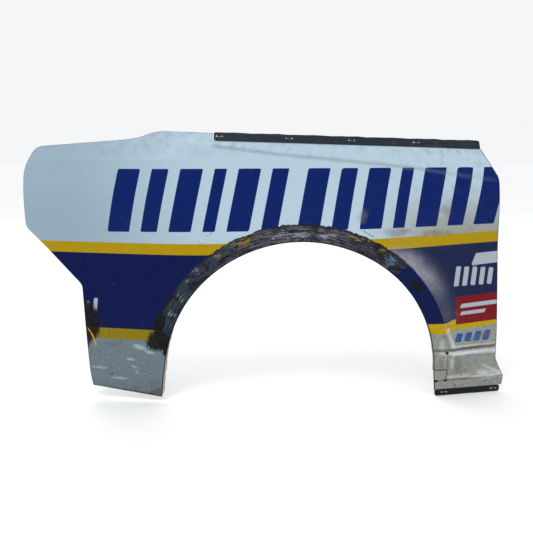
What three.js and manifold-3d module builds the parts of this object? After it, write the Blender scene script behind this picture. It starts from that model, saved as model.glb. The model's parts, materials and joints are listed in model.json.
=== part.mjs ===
// Right rear quarter panel of a stock car, with its mounting rails, return flanges, bonded
// stiffeners, brace brackets, nutplates and flush rivets. Millimetres, +X towards the front of
// the car, -Y outboard, +Z up. Shapes are laid out from the centre line of the wheel opening,
// and the finished group is moved so that its origin lies on the upper rail's mounting face.
import * as THREE from 'three';
import { mergeVertices } from 'three/addons/utils/BufferGeometryUtils.js';
import Module from 'manifold-3d';

const wasm = await Module();
wasm.setup();

// ---------- driving dimensions ----------
const SKIN_THICKNESS = 3;
const BOND_GAP = 0.8;            // clearance between the faceted skin and what is bonded to it
const FIT_GAP = 0.3;             // clearance between flat pieces that touch

const WHEEL_CENTRE_Z = 41;
const WHEEL_RADIUS = 437;
const BAND_WIDTH = 55;           // flat band around the wheel opening
const BAND_DROP = 13;            // how far the band turns in at its edge
const LEG_BAND_WIDTH = 16;       // the band narrows down the rear leg
const FRONT_BAND_WIDTH = 45;     // and a little down the front leg

const REAR_LEG_FOOT = [-451, -34];
const REAR_LEG_BEND = [-440, 95];
const FRONT_LEG_FOOT = [441, -26];
// angles around the wheel opening, in degrees from the rear; the legs go on past its round part
const FOOT_START = -10;
const ROUND_START = 17;
const ROUND_END = 180;
const FOOT_END = 188;

// corners of the outer edge as [x, z, radius, angle around the wheel opening that they face]
const OUTER_CORNERS = [
  [-682, -7, 5, -10],
  [-689, 30, 30, -6],
  [-704, 331, 12, 20],
  [-881, 515, 16, 32],
  [-881, 694, 26, 37],
  [-850, 769, 24, 39],
  [-523, 794, 50, 45],
  [-459, 819, 40, 48],
  [-279, 812, 2, 50.5],
  [-279, 788, 8, 51.5],
  [583, 759, 3, 130],
  [634, 670, 12, 140],
  [652, 250, 60, 160],
  [657, 100, 12, 172],
  [656, 66, 16, 175],
  [684, 5, 5, 184],
  [679, -26, 3, 188],
];
const CORNER_STEPS = 2;
const COLUMN_SPACING = 46;
const SIDE_ROWS = 6;

const CREASE_HEIGHT = 740;       // crease under the roof pillar, at the wheel's centre line
const CREASE_FALL = 0.12;        // and how much it drops per millimetre forwards
const PILLAR_LEAN = 0.35;
const SHOULDER_HEIGHT = 739;
const SHOULDER_RISE = 0.0127;
const CREASE_SOFTNESS = 10;
const SHOULDER_LEAN = 0.7;

const SILL_START = 484;
const SILL_LIP_TOP = 8;
const SILL_SWEEP = 66;           // height over which the sill sweeps out
const SILL_ANGLE = 0.24;
const FOLD_HEIGHT = 104;         // groove across the front leg, with a ridge below it
const FOLD_DEPTH = 7;
const RIDGE_DROP = 10;
const RIDGE_HEIGHT = 3;

const RAIL_THICKNESS = 2.5;
const RAIL_RECESS = 2.2;         // exposed face of a rail, behind the skin's outer face
const EDGE_GAP = 0.5;            // between the skin's edge and a rail's exposed part
const SLANTED_EDGE_GAP = 2.3;    // the same where the skin's edge is cut at a slant
const LAND_MARGIN = 8;
const LAND_OVERLAP = 3;
const UPPER_RAIL_START = [-276, 787.9];
const RAIL_INNER_CORNER = 8;
const WAVE_STEP = 28;            // between the points of a rail's slightly wavy free edge
const UPPER_RAIL_WAVE = 1.5;
const SILL_RAIL_WAVE = 0.6;
const UPPER_RAIL_END = [582, 759];
const UPPER_RAIL_HEIGHT = 30;
const UPPER_RAIL_CORNER = 8;
const UPPER_LAND_DROPS = [7, 26];                 // of its land below it, at the rear and the front end
const UPPER_RAIL_STATIONS = [18, 238, 440, 652];  // along the rail from its rear end
const REST_ALONG_RAIL = 339;     // the origin, midway between the middle stations
const SILL_RAIL_START = 445;
const SILL_RAIL_END = 673;
const SILL_RAIL_HEIGHT = 22;
const SILL_RAIL_CORNER = 9;
const SILL_LAND_DROPS = [20, 20];
const SILL_RAIL_STATIONS = [22, 202];             // along the rail from its front end

const FLANGE_THICKNESS = 2;
const FLANGE_INSET = 3;
const FLANGE_GAP = 2.3;          // line of bonding paste behind the skin
const FLANGE_HEIGHT = 26;
const FLANGE_LAND = 20;
const DECK_FLANGE_RANGE = [39.5, 44.6];  // the facing angles that it runs between
const DECK_FLANGE_LAND = 12;
const DECK_FLANGE_HEIGHT = 18;
const LEG_STATION_HEIGHT = 16;
const TAIL_LOWER_CORNER = 2;     // places in the list of outer corners
const TAIL_UPPER_CORNER = 3;
const TAIL_FLANGE_SHARES = [0.14, 0.32, 0.5, 0.68, 0.86];  // along the edge between those corners
const DOOR_FLANGE_SHARES = [0.08, 0.3, 0.52, 0.74, 0.9];
const TAIL_STATIONS = [0.24, 0.5, 0.76];
const DOOR_UPPER_CORNER = 11;
const DOOR_LOWER_CORNER = 12;
const DOOR_STATIONS = [0.25, 0.78];
const LEG_RETURN = 48;           // depth of the wheel opening's return on the rear leg
const OPENING_RETURN = 18;
const OPENING_FLANGE_STEP = 5;   // degrees between its sections
const OPENING_FLANGE_END = 181;
const OPENING_FLANGE_INSET = 0.5;
const OPENING_FLANGE_LAND = 24;

const RIB_FOOT = 44;
const RIB_CROWN = 24;
const RIB_HEIGHT = 14;
const RIB_GAP = 3.1;              // thick line of bonding paste
const SHOULDER_RIB_HEIGHT = 660;
const SHOULDER_RIB_START = -724;
const SHOULDER_RIB_END = 596;
const SHOULDER_RIB_STEP = 66;
const OPENING_RIB_RADIUS = 548;
const OPENING_RIB_RANGE = [28, 148];
const OPENING_RIB_STEP = 7.5;

const PAD_GAP = 3.2;
const BRACES = [['tail_brace', -610, 580], ['rear_leg_brace', -575, 120], ['front_brace', 560, 400]];
const PAD_WIDTH = 70;
const PAD_HEIGHT = 64;
const PAD_DEPTH = 6;
const BRACKET_FOOT = 44;
const BRACKET_STAND = 40;
const BRACKET_WIDTH = 50;
const BRACKET_THICKNESS = 3;
const BRACKET_OFFSET = 22;
const BRACKET_BEND_RADIUS = 3;
const BRACKET_HOLE_SHIFT = -3;   // of the rivets from the middle of the foot
const BRACKET_BOLT_DROP = 13;    // of the bolt hole from the upstand's free edge
const BRACE_BOLT_RADIUS = 4.2;
const BRACE_RIVET_RADIUS = 2.4;
const BRACE_RIVET_SPACING = 30;
const RIVET_DOME = [[5, 0.3], [4.2, 1.9], [2.3, 2.9], [0, 3.1]];
const CUTTER_REACH = 40;         // long enough to go right through any pad or bracket

const SCREW_HOLE_RADIUS = 3.2;
const RIVET_SPACING = 17.5;
const RIVET_RADIUS = 1.6;
const RIVET_HEAD_RADIUS = 2.7;
const RIVET_HEAD_DEPTH = 1.1;
const RIVET_SINK = 0.05;
const RIVET_TAIL_RADIUS = 2.3;
const RIVET_TAIL_DEPTH = 1.2;
const LUG_THICKNESS = 1;
const LUG_RADIUS = 4.6;
const NUT_RADIUS = 4.2;
const NUT_BORE_RADIUS = 2.4;
const NUT_HEIGHT = 5;
const NUT_OVERLAP = 0.2;         // of the nut into its lug plate, so that they join
const NUT_CLEAR = 9;             // how far the cutters run past a nutplate
const ROUND_STEPS = 8;

const MATERIALS = {
  wrap: { color: 0xaebfca, roughness: 0.35, metalness: 0 },
  bare_composite: { color: 0x23282d, roughness: 0.6, metalness: 0 },
  raw_composite: { color: 0xa8a08c, roughness: 0.8, metalness: 0 },
  core_rib: { color: 0x2d2f31, roughness: 0.7, metalness: 0 },
  aluminium: { color: 0xb4b8bb, roughness: 0.4, metalness: 1 },
  plated_steel: { color: 0xc7c2a8, roughness: 0.35, metalness: 1 },
};

const group = new THREE.Group();

// ---------- small maths ----------
const clamp = (value, low, high) => Math.min(high, Math.max(low, value));
const mix = (a, b, t) => a + (b - a) * t;

function smooth(from, to, value) {
  const t = clamp((value - from) / (to - from), 0, 1);
  return t * t * (3 - 2 * t);
}

// zero below "from", slope one above "to", with a smooth bend between them
function softRamp(value, from, to) {
  const t = clamp((value - from) / (to - from), 0, 1);
  return (to - from) * (t ** 3 - t ** 4 / 2) + Math.max(value - to, 0);
}

// ---------- the outer surface as a depth over the side view ----------
function bodyDepth(x, z) {
  const wheelLevel = 0.344 * softRamp(x, 60, 360) + 0.2 * softRamp(-x, 100, 520);
  const shoulderLevel = 10 + 0.1 * (x + 278) + 0.29 * softRamp(-x, 278, 700);
  const lean = 0.25 * softRamp(z, 400, 660);
  const tuck = 0.14 * softRamp(-z, -260, 40);
  return mix(wheelLevel, shoulderLevel, smooth(430, 660, z)) + lean + tuck;
}

function shoulderDepth(x, z) {
  const fade = 1 - smooth(-560, -285, x);
  return SHOULDER_LEAN * fade * softRamp(z - SHOULDER_HEIGHT - SHOULDER_RISE * x, -9, 9);
}

function pillarDepth(x, z) {
  const above = z - CREASE_HEIGHT + CREASE_FALL * x;
  return PILLAR_LEAN * smooth(-420, -290, x) * softRamp(above, -8, 8);
}

function distanceFromOpening(x, z) {
  return Math.hypot(x, Math.max(z - WHEEL_CENTRE_Z, 0)) - WHEEL_RADIUS;
}

function bandWidth(x, z) {
  const narrow = x < 0 ? LEG_BAND_WIDTH : FRONT_BAND_WIDTH;
  return mix(narrow, BAND_WIDTH, smooth(110, 200, z));
}

function bandDepth(x, z) {
  const width = bandWidth(x, z);
  return (BAND_DROP / BAND_WIDTH) * softRamp(width - distanceFromOpening(x, z), -5, 5);
}

function sillDepth(x, z, depth) {
  const groove = FOLD_DEPTH * Math.exp(-(((z - FOLD_HEIGHT) / 7) ** 2));
  const ridge = RIDGE_HEIGHT * Math.exp(-(((z - FOLD_HEIGHT + RIDGE_DROP) / 10) ** 2));
  const side = depth + (groove - ridge) * smooth(SILL_START, SILL_START + 26, x);
  const lip = bodyDepth(SILL_START, SILL_LIP_TOP) + SILL_ANGLE * (x - SILL_START);
  const sweep = clamp(1 - (z - SILL_LIP_TOP) / SILL_SWEEP, 0, 1) ** 3;
  return mix(side, lip, x > 0 ? sweep : 0);
}

function depthAt(x, z) {
  const depth = bodyDepth(x, z) + shoulderDepth(x, z) + pillarDepth(x, z) + bandDepth(x, z);
  return sillDepth(x, z, depth);
}

// a point a given thickness behind the outer surface, straight inboard of (x, z)
function behindSurface(x, z, thickness) {
  const step = 2;
  const slopeX = (depthAt(x + step, z) - depthAt(x - step, z)) / (2 * step);
  const slopeZ = (depthAt(x, z + step) - depthAt(x, z - step)) / (2 * step);
  return depthAt(x, z) + thickness * Math.hypot(1, slopeX, slopeZ);
}

// ---------- meshes ----------
function signedVolume(positions, triangles) {
  let total = 0;
  const [a, b, c] = [new THREE.Vector3(), new THREE.Vector3(), new THREE.Vector3()];
  for (const [i, j, k] of triangles) {
    a.fromArray(positions[i]);
    b.fromArray(positions[j]);
    c.fromArray(positions[k]);
    total += a.dot(b.cross(c));
  }
  return total / 6;
}

// a closed mesh with its faces turned outwards
function closedMesh(positions, triangles) {
  const inward = signedVolume(positions, triangles) < 0;
  const faces = inward ? triangles.map((face) => [...face].reverse()) : triangles;
  const geometry = new THREE.BufferGeometry();
  geometry.setAttribute('position', new THREE.Float32BufferAttribute(positions.flat(), 3));
  geometry.setIndex(faces.flat());
  return geometry;
}

function addPiece(name, material, geometry, frame) {
  const mesh = new THREE.Mesh(geometry, new THREE.MeshStandardMaterial(MATERIALS[material]));
  mesh.name = name;
  if (frame) {
    mesh.applyMatrix4(frame);
  }
  group.add(mesh);
}

function toSolid(geometry) {
  const plain = geometry.clone();
  plain.deleteAttribute('normal');
  plain.deleteAttribute('uv');
  const merged = mergeVertices(plain, 1e-4);
  const vertProperties = new Float32Array(merged.attributes.position.array);
  const triVerts = new Uint32Array(merged.index.array);
  return new wasm.Manifold(new wasm.Mesh({ numProp: 3, vertProperties, triVerts }));
}

function fromSolid(solid) {
  const mesh = solid.getMesh();
  const geometry = new THREE.BufferGeometry();
  geometry.setAttribute('position', new THREE.Float32BufferAttribute(mesh.vertProperties, 3));
  geometry.setIndex(Array.from(mesh.triVerts));
  return geometry;
}

function join(...geometries) {
  return fromSolid(geometries.map(toSolid).reduce((whole, next) => whole.add(next)));
}

function cut(geometry, cutters) {
  return fromSolid(cutters.map(toSolid).reduce((whole, next) => whole.subtract(next), toSolid(geometry)));
}

// a round piece about the local Z axis, from its profile of [radius, height]
function turned(profile) {
  const points = profile.map(([radius, height]) => new THREE.Vector2(radius, height));
  return new THREE.LatheGeometry(points, ROUND_STEPS).rotateX(Math.PI / 2);
}

// a solid cylinder about the local Z axis, also used to cut holes
function roundBar(radius, from, to) {
  return turned([[0, from], [radius, from], [radius, to], [0, to]]);
}

// a plate with its front at local Z = front and its outline in local X and Y
function plate(shape, front, thickness) {
  const settings = { depth: thickness, bevelEnabled: false, curveSegments: 4 };
  return new THREE.ExtrudeGeometry(shape, settings).translate(0, 0, front - thickness);
}

// rings of points [x, y, z, section u, section v] joined into one bar with flat ends
function sweepRings(rings) {
  const count = rings[0].length;
  const last = (rings.length - 1) * count;
  const triangles = [];
  for (let start = 0; start < last; start += count) {
    for (let side = 0; side < count; side += 1) {
      const a = start + side;
      const b = start + ((side + 1) % count);
      triangles.push([a, b, b + count], [a, b + count, a + count]);
    }
  }
  const section = rings[0].map((point) => new THREE.Vector2(point[3], point[4]));
  const clockwise = THREE.ShapeUtils.isClockWise(section);
  for (const cap of THREE.ShapeUtils.triangulateShape(section, [])) {
    const [a, b, c] = clockwise ? [...cap].reverse() : cap;
    triangles.push([c, b, a], [last + a, last + b, last + c]);
  }
  return closedMesh(rings.flat().map(([x, y, z]) => [x, y, z]), triangles);
}

// ---------- edges of the skin ----------
function bend(start, middle, end, t) {
  return start.map((from, k) => (1 - t) ** 2 * from + 2 * t * (1 - t) * middle[k] + t ** 2 * end[k]);
}

function arcPoint(degrees, radius = WHEEL_RADIUS) {
  const angle = THREE.MathUtils.degToRad(degrees);
  return [-radius * Math.cos(angle), WHEEL_CENTRE_Z + radius * Math.sin(angle)];
}

// the wheel opening's edge: a bent rear leg, the round part, then a straight front leg
function openingPoint(degrees) {
  if (degrees < ROUND_START) {
    const t = (degrees - FOOT_START) / (ROUND_START - FOOT_START);
    return bend(REAR_LEG_FOOT, REAR_LEG_BEND, arcPoint(ROUND_START), t);
  }
  if (degrees > ROUND_END) {
    const t = (degrees - ROUND_END) / (FOOT_END - ROUND_END);
    return arcPoint(ROUND_END).map((from, k) => mix(from, FRONT_LEG_FOOT[k], t));
  }
  return arcPoint(degrees);
}

// the outer edge with its corners rounded, as [x, z, facing angle]
function outerEdge() {
  const last = OUTER_CORNERS.length - 1;
  return OUTER_CORNERS.flatMap(([x, z, radius, facing], index) => {
    if (index === 0 || index === last) {
      return [[x, z, facing]];
    }
    const [start, end] = [OUTER_CORNERS[index - 1], OUTER_CORNERS[index + 1]].map((next) => {
      const share = Math.min(radius / Math.hypot(next[0] - x, next[1] - z), 0.45);
      return [mix(x, next[0], share), mix(z, next[1], share), mix(facing, next[3], share)];
    });
    const steps = Array.from({ length: CORNER_STEPS + 1 }, (_, step) => step / CORNER_STEPS);
    return steps.map((t) => bend(start, [x, z, facing], end, t));
  });
}

function fillSpacing(points, spacing) {
  const filled = [points[0]];
  for (let index = 1; index < points.length; index += 1) {
    const [from, to] = [points[index - 1], points[index]];
    const steps = Math.max(1, Math.round(Math.hypot(to[0] - from[0], to[1] - from[1]) / spacing));
    for (let step = 1; step <= steps; step += 1) {
      filled.push(from.map((value, k) => mix(value, to[k], step / steps)));
    }
  }
  return filled;
}

// ---------- skin ----------
// the share of the way from start to end where a test on (x, z) first holds
function crossing(start, end, test) {
  let [low, high] = [0, 1];
  for (let round = 0; round < 30; round += 1) {
    const middle = (low + high) / 2;
    if (test(mix(start[0], end[0], middle), mix(start[1], end[1], middle))) {
      high = middle;
    } else {
      low = middle;
    }
  }
  return high;
}

function upperCrease(x) {
  const shoulder = SHOULDER_HEIGHT + SHOULDER_RISE * x;
  return mix(shoulder, CREASE_HEIGHT - CREASE_FALL * x, smooth(-560, -285, x));
}

// shares along one column of the skin, from the wheel opening to the outer edge
function columnShares(start, end) {
  const band = crossing(start, end, (x, z) => distanceFromOpening(x, z) >= bandWidth(x, z));
  const reachesTop = end[1] > upperCrease(end[0]) + 2 * CREASE_SOFTNESS;
  const creases = [-1, 1].map((side) => {
    const test = (x, z) => z >= upperCrease(x) + side * CREASE_SOFTNESS;
    return reachesTop ? crossing(start, end, test) : 0.86 + 0.03 * side;
  });
  const middle = Array.from({ length: SIDE_ROWS }, (_, row) => mix(band, creases[0], row / SIDE_ROWS));
  return [0, ...middle, ...creases, (creases[1] + 1) / 2, 1];
}

function quarterSkin() {
  const columns = fillSpacing(outerEdge(), COLUMN_SPACING).map(([x, z, facing]) => {
    const start = openingPoint(facing);
    return columnShares(start, [x, z]).map((share) => [mix(start[0], x, share), mix(start[1], z, share)]);
  });
  const rows = columns[0].length;
  const points = columns.flat();
  const triangles = [];
  const quad = (a, b, c, d) => triangles.push([a, b, c], [a, c, d]);
  // a wall between the outer and inner layers along the edge from a to b
  const wall = (a, b) => quad(a, a + points.length, b + points.length, b);
  for (let column = 0; column < columns.length - 1; column += 1) {
    const [here, next] = [column * rows, (column + 1) * rows];
    for (let row = 0; row < rows - 1; row += 1) {
      const corners = [here + row, here + row + 1, next + row + 1, next + row];
      quad(...[...corners].reverse());
      quad(...corners.map((corner) => corner + points.length));
    }
    wall(here, next);
    wall(next + rows - 1, here + rows - 1);
  }
  const lastColumn = points.length - rows;
  for (let row = 0; row < rows - 1; row += 1) {
    wall(row + 1, row);
    wall(lastColumn + row, lastColumn + row + 1);
  }
  const outer = points.map(([x, z]) => [x, depthAt(x, z), z]);
  const inner = points.map(([x, z]) => [x, behindSurface(x, z, SKIN_THICKNESS), z]);
  addPiece('quarter_skin', 'wrap', closedMesh([...outer, ...inner], triangles));
}

// ---------- fasteners ----------
// a frame with local X along a face and local Z out of it
function faceFrame(origin, along, outward) {
  const z = outward.clone().normalize();
  const x = along.clone().addScaledVector(z, -along.dot(z)).normalize();
  const y = z.clone().cross(x);
  return new THREE.Matrix4().makeBasis(x, y, z).setPosition(origin);
}

function shifted(frame, x, y = 0, z = 0) {
  return frame.clone().multiply(new THREE.Matrix4().makeTranslation(x, y, z));
}

// cutters for one nutplate station: the screw hole and two countersunk rivet holes
function stationCutters(sheet) {
  const deep = -sheet - 1;
  const [hole, head] = [RIVET_RADIUS + FIT_GAP, RIVET_HEAD_RADIUS + FIT_GAP];
  const screw = roundBar(SCREW_HOLE_RADIUS, deep, 1);
  const sunk = [[0, deep], [hole, deep], [hole, -RIVET_HEAD_DEPTH], [head, 0], [head, 1], [0, 1]];
  const sides = [-1, 1].map((side) => turned(sunk).translate((side * RIVET_SPACING) / 2, 0, 0));
  return [screw, ...sides];
}

function nutplateGeometry(sheet) {
  const front = -sheet - FIT_GAP;
  const end = RIVET_SPACING / 2;
  const lug = new THREE.Shape();
  lug.absarc(end, 0, LUG_RADIUS, -Math.PI / 2, Math.PI / 2);
  lug.absarc(-end, 0, LUG_RADIUS, Math.PI / 2, Math.PI * 1.5);
  lug.closePath();
  const back = front - LUG_THICKNESS;
  const nut = roundBar(NUT_RADIUS, back - NUT_HEIGHT, front - NUT_OVERLAP);
  const bore = roundBar(NUT_BORE_RADIUS, back - NUT_CLEAR, 1);
  const holes = [-end, end].map((x) => roundBar(RIVET_RADIUS + FIT_GAP, -NUT_CLEAR, 1).translate(x, 0, 0));
  return cut(join(plate(lug, front, LUG_THICKNESS), nut), [bore, ...holes]);
}

// a flush rivet: countersunk head at the face, formed tail behind the stack
function rivetGeometry(stack) {
  const tail = -stack - FIT_GAP;
  return turned([
    [0, tail - RIVET_TAIL_DEPTH],
    [RIVET_TAIL_RADIUS, tail - RIVET_TAIL_DEPTH],
    [RIVET_TAIL_RADIUS, tail],
    [RIVET_RADIUS, tail],
    [RIVET_RADIUS, -RIVET_HEAD_DEPTH],
    [RIVET_HEAD_RADIUS, -RIVET_SINK],
    [0, -RIVET_SINK],
  ]);
}

function addStation(name, frame, sheet) {
  addPiece(`${name}_nutplate`, 'plated_steel', nutplateGeometry(sheet), frame);
  const stack = sheet + FIT_GAP + LUG_THICKNESS;
  for (const [side, x] of [['rear', -1], ['front', 1]]) {
    const place = shifted(frame, (x * RIVET_SPACING) / 2);
    addPiece(`${name}_rivet_${side}`, 'aluminium', rivetGeometry(stack), place);
  }
}

// ---------- mounting rails ----------
// outline of a rail: a long bar with a slightly uneven free edge and rounded free corners
function railShape(length, height, radius, wave) {
  const shape = new THREE.Shape();
  shape.moveTo(0, RAIL_INNER_CORNER);
  shape.quadraticCurveTo(0, 0, RAIL_INNER_CORNER, 0);
  shape.lineTo(length, 0);
  shape.lineTo(length, height - radius);
  shape.quadraticCurveTo(length, height, length - radius, height);
  const steps = Math.round((length - 2 * radius) / WAVE_STEP);
  for (let step = 1; step < steps; step += 1) {
    const x = mix(length - radius, radius, step / steps);
    shape.lineTo(x, height + wave * Math.sin(step * 2.1) * Math.cos(step * 0.7));
  }
  shape.lineTo(radius, height);
  shape.quadraticCurveTo(0, height, 0, height - radius);
  shape.closePath();
  return shape;
}

// the land that is bonded behind the skin, joined to the exposed part by an overlap
function landShape(length, startDrop, endDrop) {
  const shape = new THREE.Shape();
  shape.moveTo(LAND_MARGIN, -startDrop);
  shape.lineTo(length - LAND_MARGIN, -endDrop);
  shape.lineTo(length - LAND_MARGIN, LAND_OVERLAP);
  shape.lineTo(LAND_MARGIN, LAND_OVERLAP);
  shape.closePath();
  return shape;
}

function railGeometry(exposed, land, stations) {
  const landFront = -(SKIN_THICKNESS + BOND_GAP - RAIL_RECESS);
  const bar = join(plate(exposed, 0, RAIL_THICKNESS), plate(land, landFront, RAIL_THICKNESS));
  const cutters = stations.flatMap((x) => {
    return stationCutters(RAIL_THICKNESS).map((cutter) => cutter.translate(x[0], x[1], 0));
  });
  return cut(bar, cutters);
}

// the flat strip along the top edge, under the roof pillar
function upperRail() {
  const [start, end] = [UPPER_RAIL_START, UPPER_RAIL_END];
  const from = new THREE.Vector3(start[0], depthAt(...start), start[1]);
  const to = new THREE.Vector3(end[0], depthAt(...end), end[1]);
  const along = to.clone().sub(from);
  const upSlope = new THREE.Vector3(0, depthAt(0, 790) - depthAt(0, 780), 10);
  const outward = along.clone().cross(upSlope).normalize();
  const frame = faceFrame(from, along, outward);
  const face = shifted(frame, 0, SLANTED_EDGE_GAP, -RAIL_RECESS);
  const length = along.length();
  const stations = UPPER_RAIL_STATIONS.map((x) => [x, UPPER_RAIL_HEIGHT / 2 + 1]);
  const exposed = railShape(length, UPPER_RAIL_HEIGHT, UPPER_RAIL_CORNER, UPPER_RAIL_WAVE);
  const geometry = railGeometry(exposed, landShape(length, ...UPPER_LAND_DROPS), stations);
  addPiece('upper_rail', 'bare_composite', geometry, face);
  stations.forEach(([x, y], index) => {
    addStation(`upper_rail_${index + 1}`, shifted(face, x, y), RAIL_THICKNESS);
  });
  return new THREE.Vector3(REST_ALONG_RAIL, UPPER_RAIL_HEIGHT / 2, 0).applyMatrix4(face);
}

// the flat strip below the sill at the foot of the front leg, with its free edge downwards
function sillRail() {
  const lipDepth = (x) => bodyDepth(SILL_START, SILL_LIP_TOP) + SILL_ANGLE * (x - SILL_START);
  const bottom = FRONT_LEG_FOOT[1] - EDGE_GAP;
  const from = new THREE.Vector3(SILL_RAIL_END, lipDepth(SILL_RAIL_END), bottom);
  const along = new THREE.Vector3(-1, -SILL_ANGLE, 0);
  const outward = new THREE.Vector3(SILL_ANGLE, -1, 0);
  const face = shifted(faceFrame(from, along, outward), 0, 0, -RAIL_RECESS);
  const length = (SILL_RAIL_END - SILL_RAIL_START) * Math.hypot(1, SILL_ANGLE);
  const stations = SILL_RAIL_STATIONS.map((x) => [x, SILL_RAIL_HEIGHT / 2]);
  const exposed = railShape(length, SILL_RAIL_HEIGHT, SILL_RAIL_CORNER, SILL_RAIL_WAVE);
  const geometry = railGeometry(exposed, landShape(length, ...SILL_LAND_DROPS), stations);
  addPiece('sill_rail', 'bare_composite', geometry, face);
  stations.forEach(([x, y], index) => {
    addStation(`sill_rail_${index + 1}`, shifted(face, x, y), RAIL_THICKNESS);
  });
}

// ---------- bonded flanges and ribs ----------
// unit normal across a path at one of its points, to the right of the way it runs
function acrossPath(path, index) {
  const before = path[Math.max(index - 1, 0)];
  const after = path[Math.min(index + 1, path.length - 1)];
  const length = Math.hypot(after[0] - before[0], after[1] - before[1]);
  return [(after[1] - before[1]) / length, -(after[0] - before[0]) / length];
}

// one ring of a section given as [distance across the path, height off the skin's back]
function sectionRing(path, index, side, section, gap) {
  const [x, z] = path[index];
  const [acrossX, acrossZ] = acrossPath(path, index);
  return section.map(([across, height]) => {
    const [atX, atZ] = [x + side * across * acrossX, z + side * across * acrossZ];
    return [atX, behindSurface(atX, atZ, SKIN_THICKNESS + gap) + height, atZ, across, height];
  });
}

// an angle with one leg bonded behind the skin and the other turned inboard along its edge
function flangeGeometry(path, side, inset, land, legHeight) {
  const thick = FLANGE_THICKNESS;
  return sweepRings(path.map((point, index) => {
    const height = legHeight(point);
    const section = [
      [inset, 0],
      [inset + land, 0],
      [inset + land, thick],
      [inset + thick, thick],
      [inset + thick, height],
      [inset, height],
    ];
    const ring = sectionRing(path, index, side, section, FLANGE_GAP);
    const base = ring[0][1];
    return ring.map((p, k) => (k > 3 ? [p[0], base + height, p[2], p[3], p[4]] : p));
  }));
}

function outerEdgeBetween(fromFacing, toFacing) {
  return fillSpacing(outerEdge(), COLUMN_SPACING)
    .filter(([, , facing]) => facing >= fromFacing && facing <= toFacing);
}

function openingFlange() {
  const path = [];
  for (let angle = FOOT_START + 0.5; angle <= OPENING_FLANGE_END; angle += OPENING_FLANGE_STEP) {
    path.push([...openingPoint(angle), angle]);
  }
  const height = ([, , angle]) => mix(LEG_RETURN, OPENING_RETURN, smooth(14, 40, angle));
  const geometry = flangeGeometry(path, -1, OPENING_FLANGE_INSET, OPENING_FLANGE_LAND, height);
  addPiece('wheel_opening_flange', 'raw_composite', geometry);
}

// a frame on the outer side of a flange's turned leg, between two points of the skin's edge
function legFrame(from, to, share, inset) {
  const [x, z] = [mix(from[0], to[0], share), mix(from[1], to[1], share)];
  const along = new THREE.Vector3(to[0] - from[0], 0, to[1] - from[1]).normalize();
  const outward = new THREE.Vector3(-along.z, 0, along.x);
  const origin = new THREE.Vector3(x, 0, z).addScaledVector(outward, -inset);
  origin.y = behindSurface(origin.x, origin.z, SKIN_THICKNESS) + LEG_STATION_HEIGHT;
  return faceFrame(origin, along, outward);
}

function stationedFlange(name, path, frames) {
  const flange = flangeGeometry(path, 1, FLANGE_INSET, FLANGE_LAND, () => FLANGE_HEIGHT);
  const cutters = frames.flatMap((frame) => {
    return stationCutters(FLANGE_THICKNESS).map((cutter) => cutter.applyMatrix4(frame));
  });
  addPiece(name, 'bare_composite', cut(flange, cutters));
  frames.forEach((frame, index) => addStation(`${name}_${index + 1}`, frame, FLANGE_THICKNESS));
}

function tailFlange() {
  const [from, to] = [TAIL_LOWER_CORNER, TAIL_UPPER_CORNER].map((index) => OUTER_CORNERS[index]);
  const path = TAIL_FLANGE_SHARES.map((share) => [0, 1].map((k) => mix(from[k], to[k], share)));
  stationedFlange('tail_flange', path, TAIL_STATIONS.map((share) => legFrame(from, to, share, FLANGE_INSET)));
}

function doorFlange() {
  const [from, to] = [DOOR_UPPER_CORNER, DOOR_LOWER_CORNER].map((index) => OUTER_CORNERS[index]);
  const path = DOOR_FLANGE_SHARES.map((share) => [0, 1].map((k) => mix(from[k], to[k], share)));
  stationedFlange('door_flange', path, DOOR_STATIONS.map((share) => legFrame(from, to, share, FLANGE_INSET)));
}

function deckFlange() {
  const path = outerEdgeBetween(...DECK_FLANGE_RANGE);
  const height = () => DECK_FLANGE_HEIGHT;
  addPiece('deck_flange', 'bare_composite', flangeGeometry(path, 1, FLANGE_INSET, DECK_FLANGE_LAND, height));
}

// a foam-cored rib bonded across the back of the skin
function ribGeometry(path) {
  const section = [
    [-RIB_FOOT / 2, 0],
    [RIB_FOOT / 2, 0],
    [RIB_CROWN / 2, RIB_HEIGHT],
    [-RIB_CROWN / 2, RIB_HEIGHT],
  ];
  return sweepRings(path.map((point, index) => sectionRing(path, index, 1, section, RIB_GAP)));
}

function shoulderRib() {
  const path = [];
  for (let x = SHOULDER_RIB_START; x <= SHOULDER_RIB_END; x += SHOULDER_RIB_STEP) {
    path.push([x, SHOULDER_RIB_HEIGHT]);
  }
  addPiece('shoulder_rib', 'core_rib', ribGeometry(path));
}

function openingRib() {
  const path = [];
  const [first, last] = OPENING_RIB_RANGE;
  for (let angle = first; angle <= last; angle += OPENING_RIB_STEP) {
    path.push(arcPoint(angle, OPENING_RIB_RADIUS));
  }
  addPiece('wheel_opening_rib', 'core_rib', ribGeometry(path));
}

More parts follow.
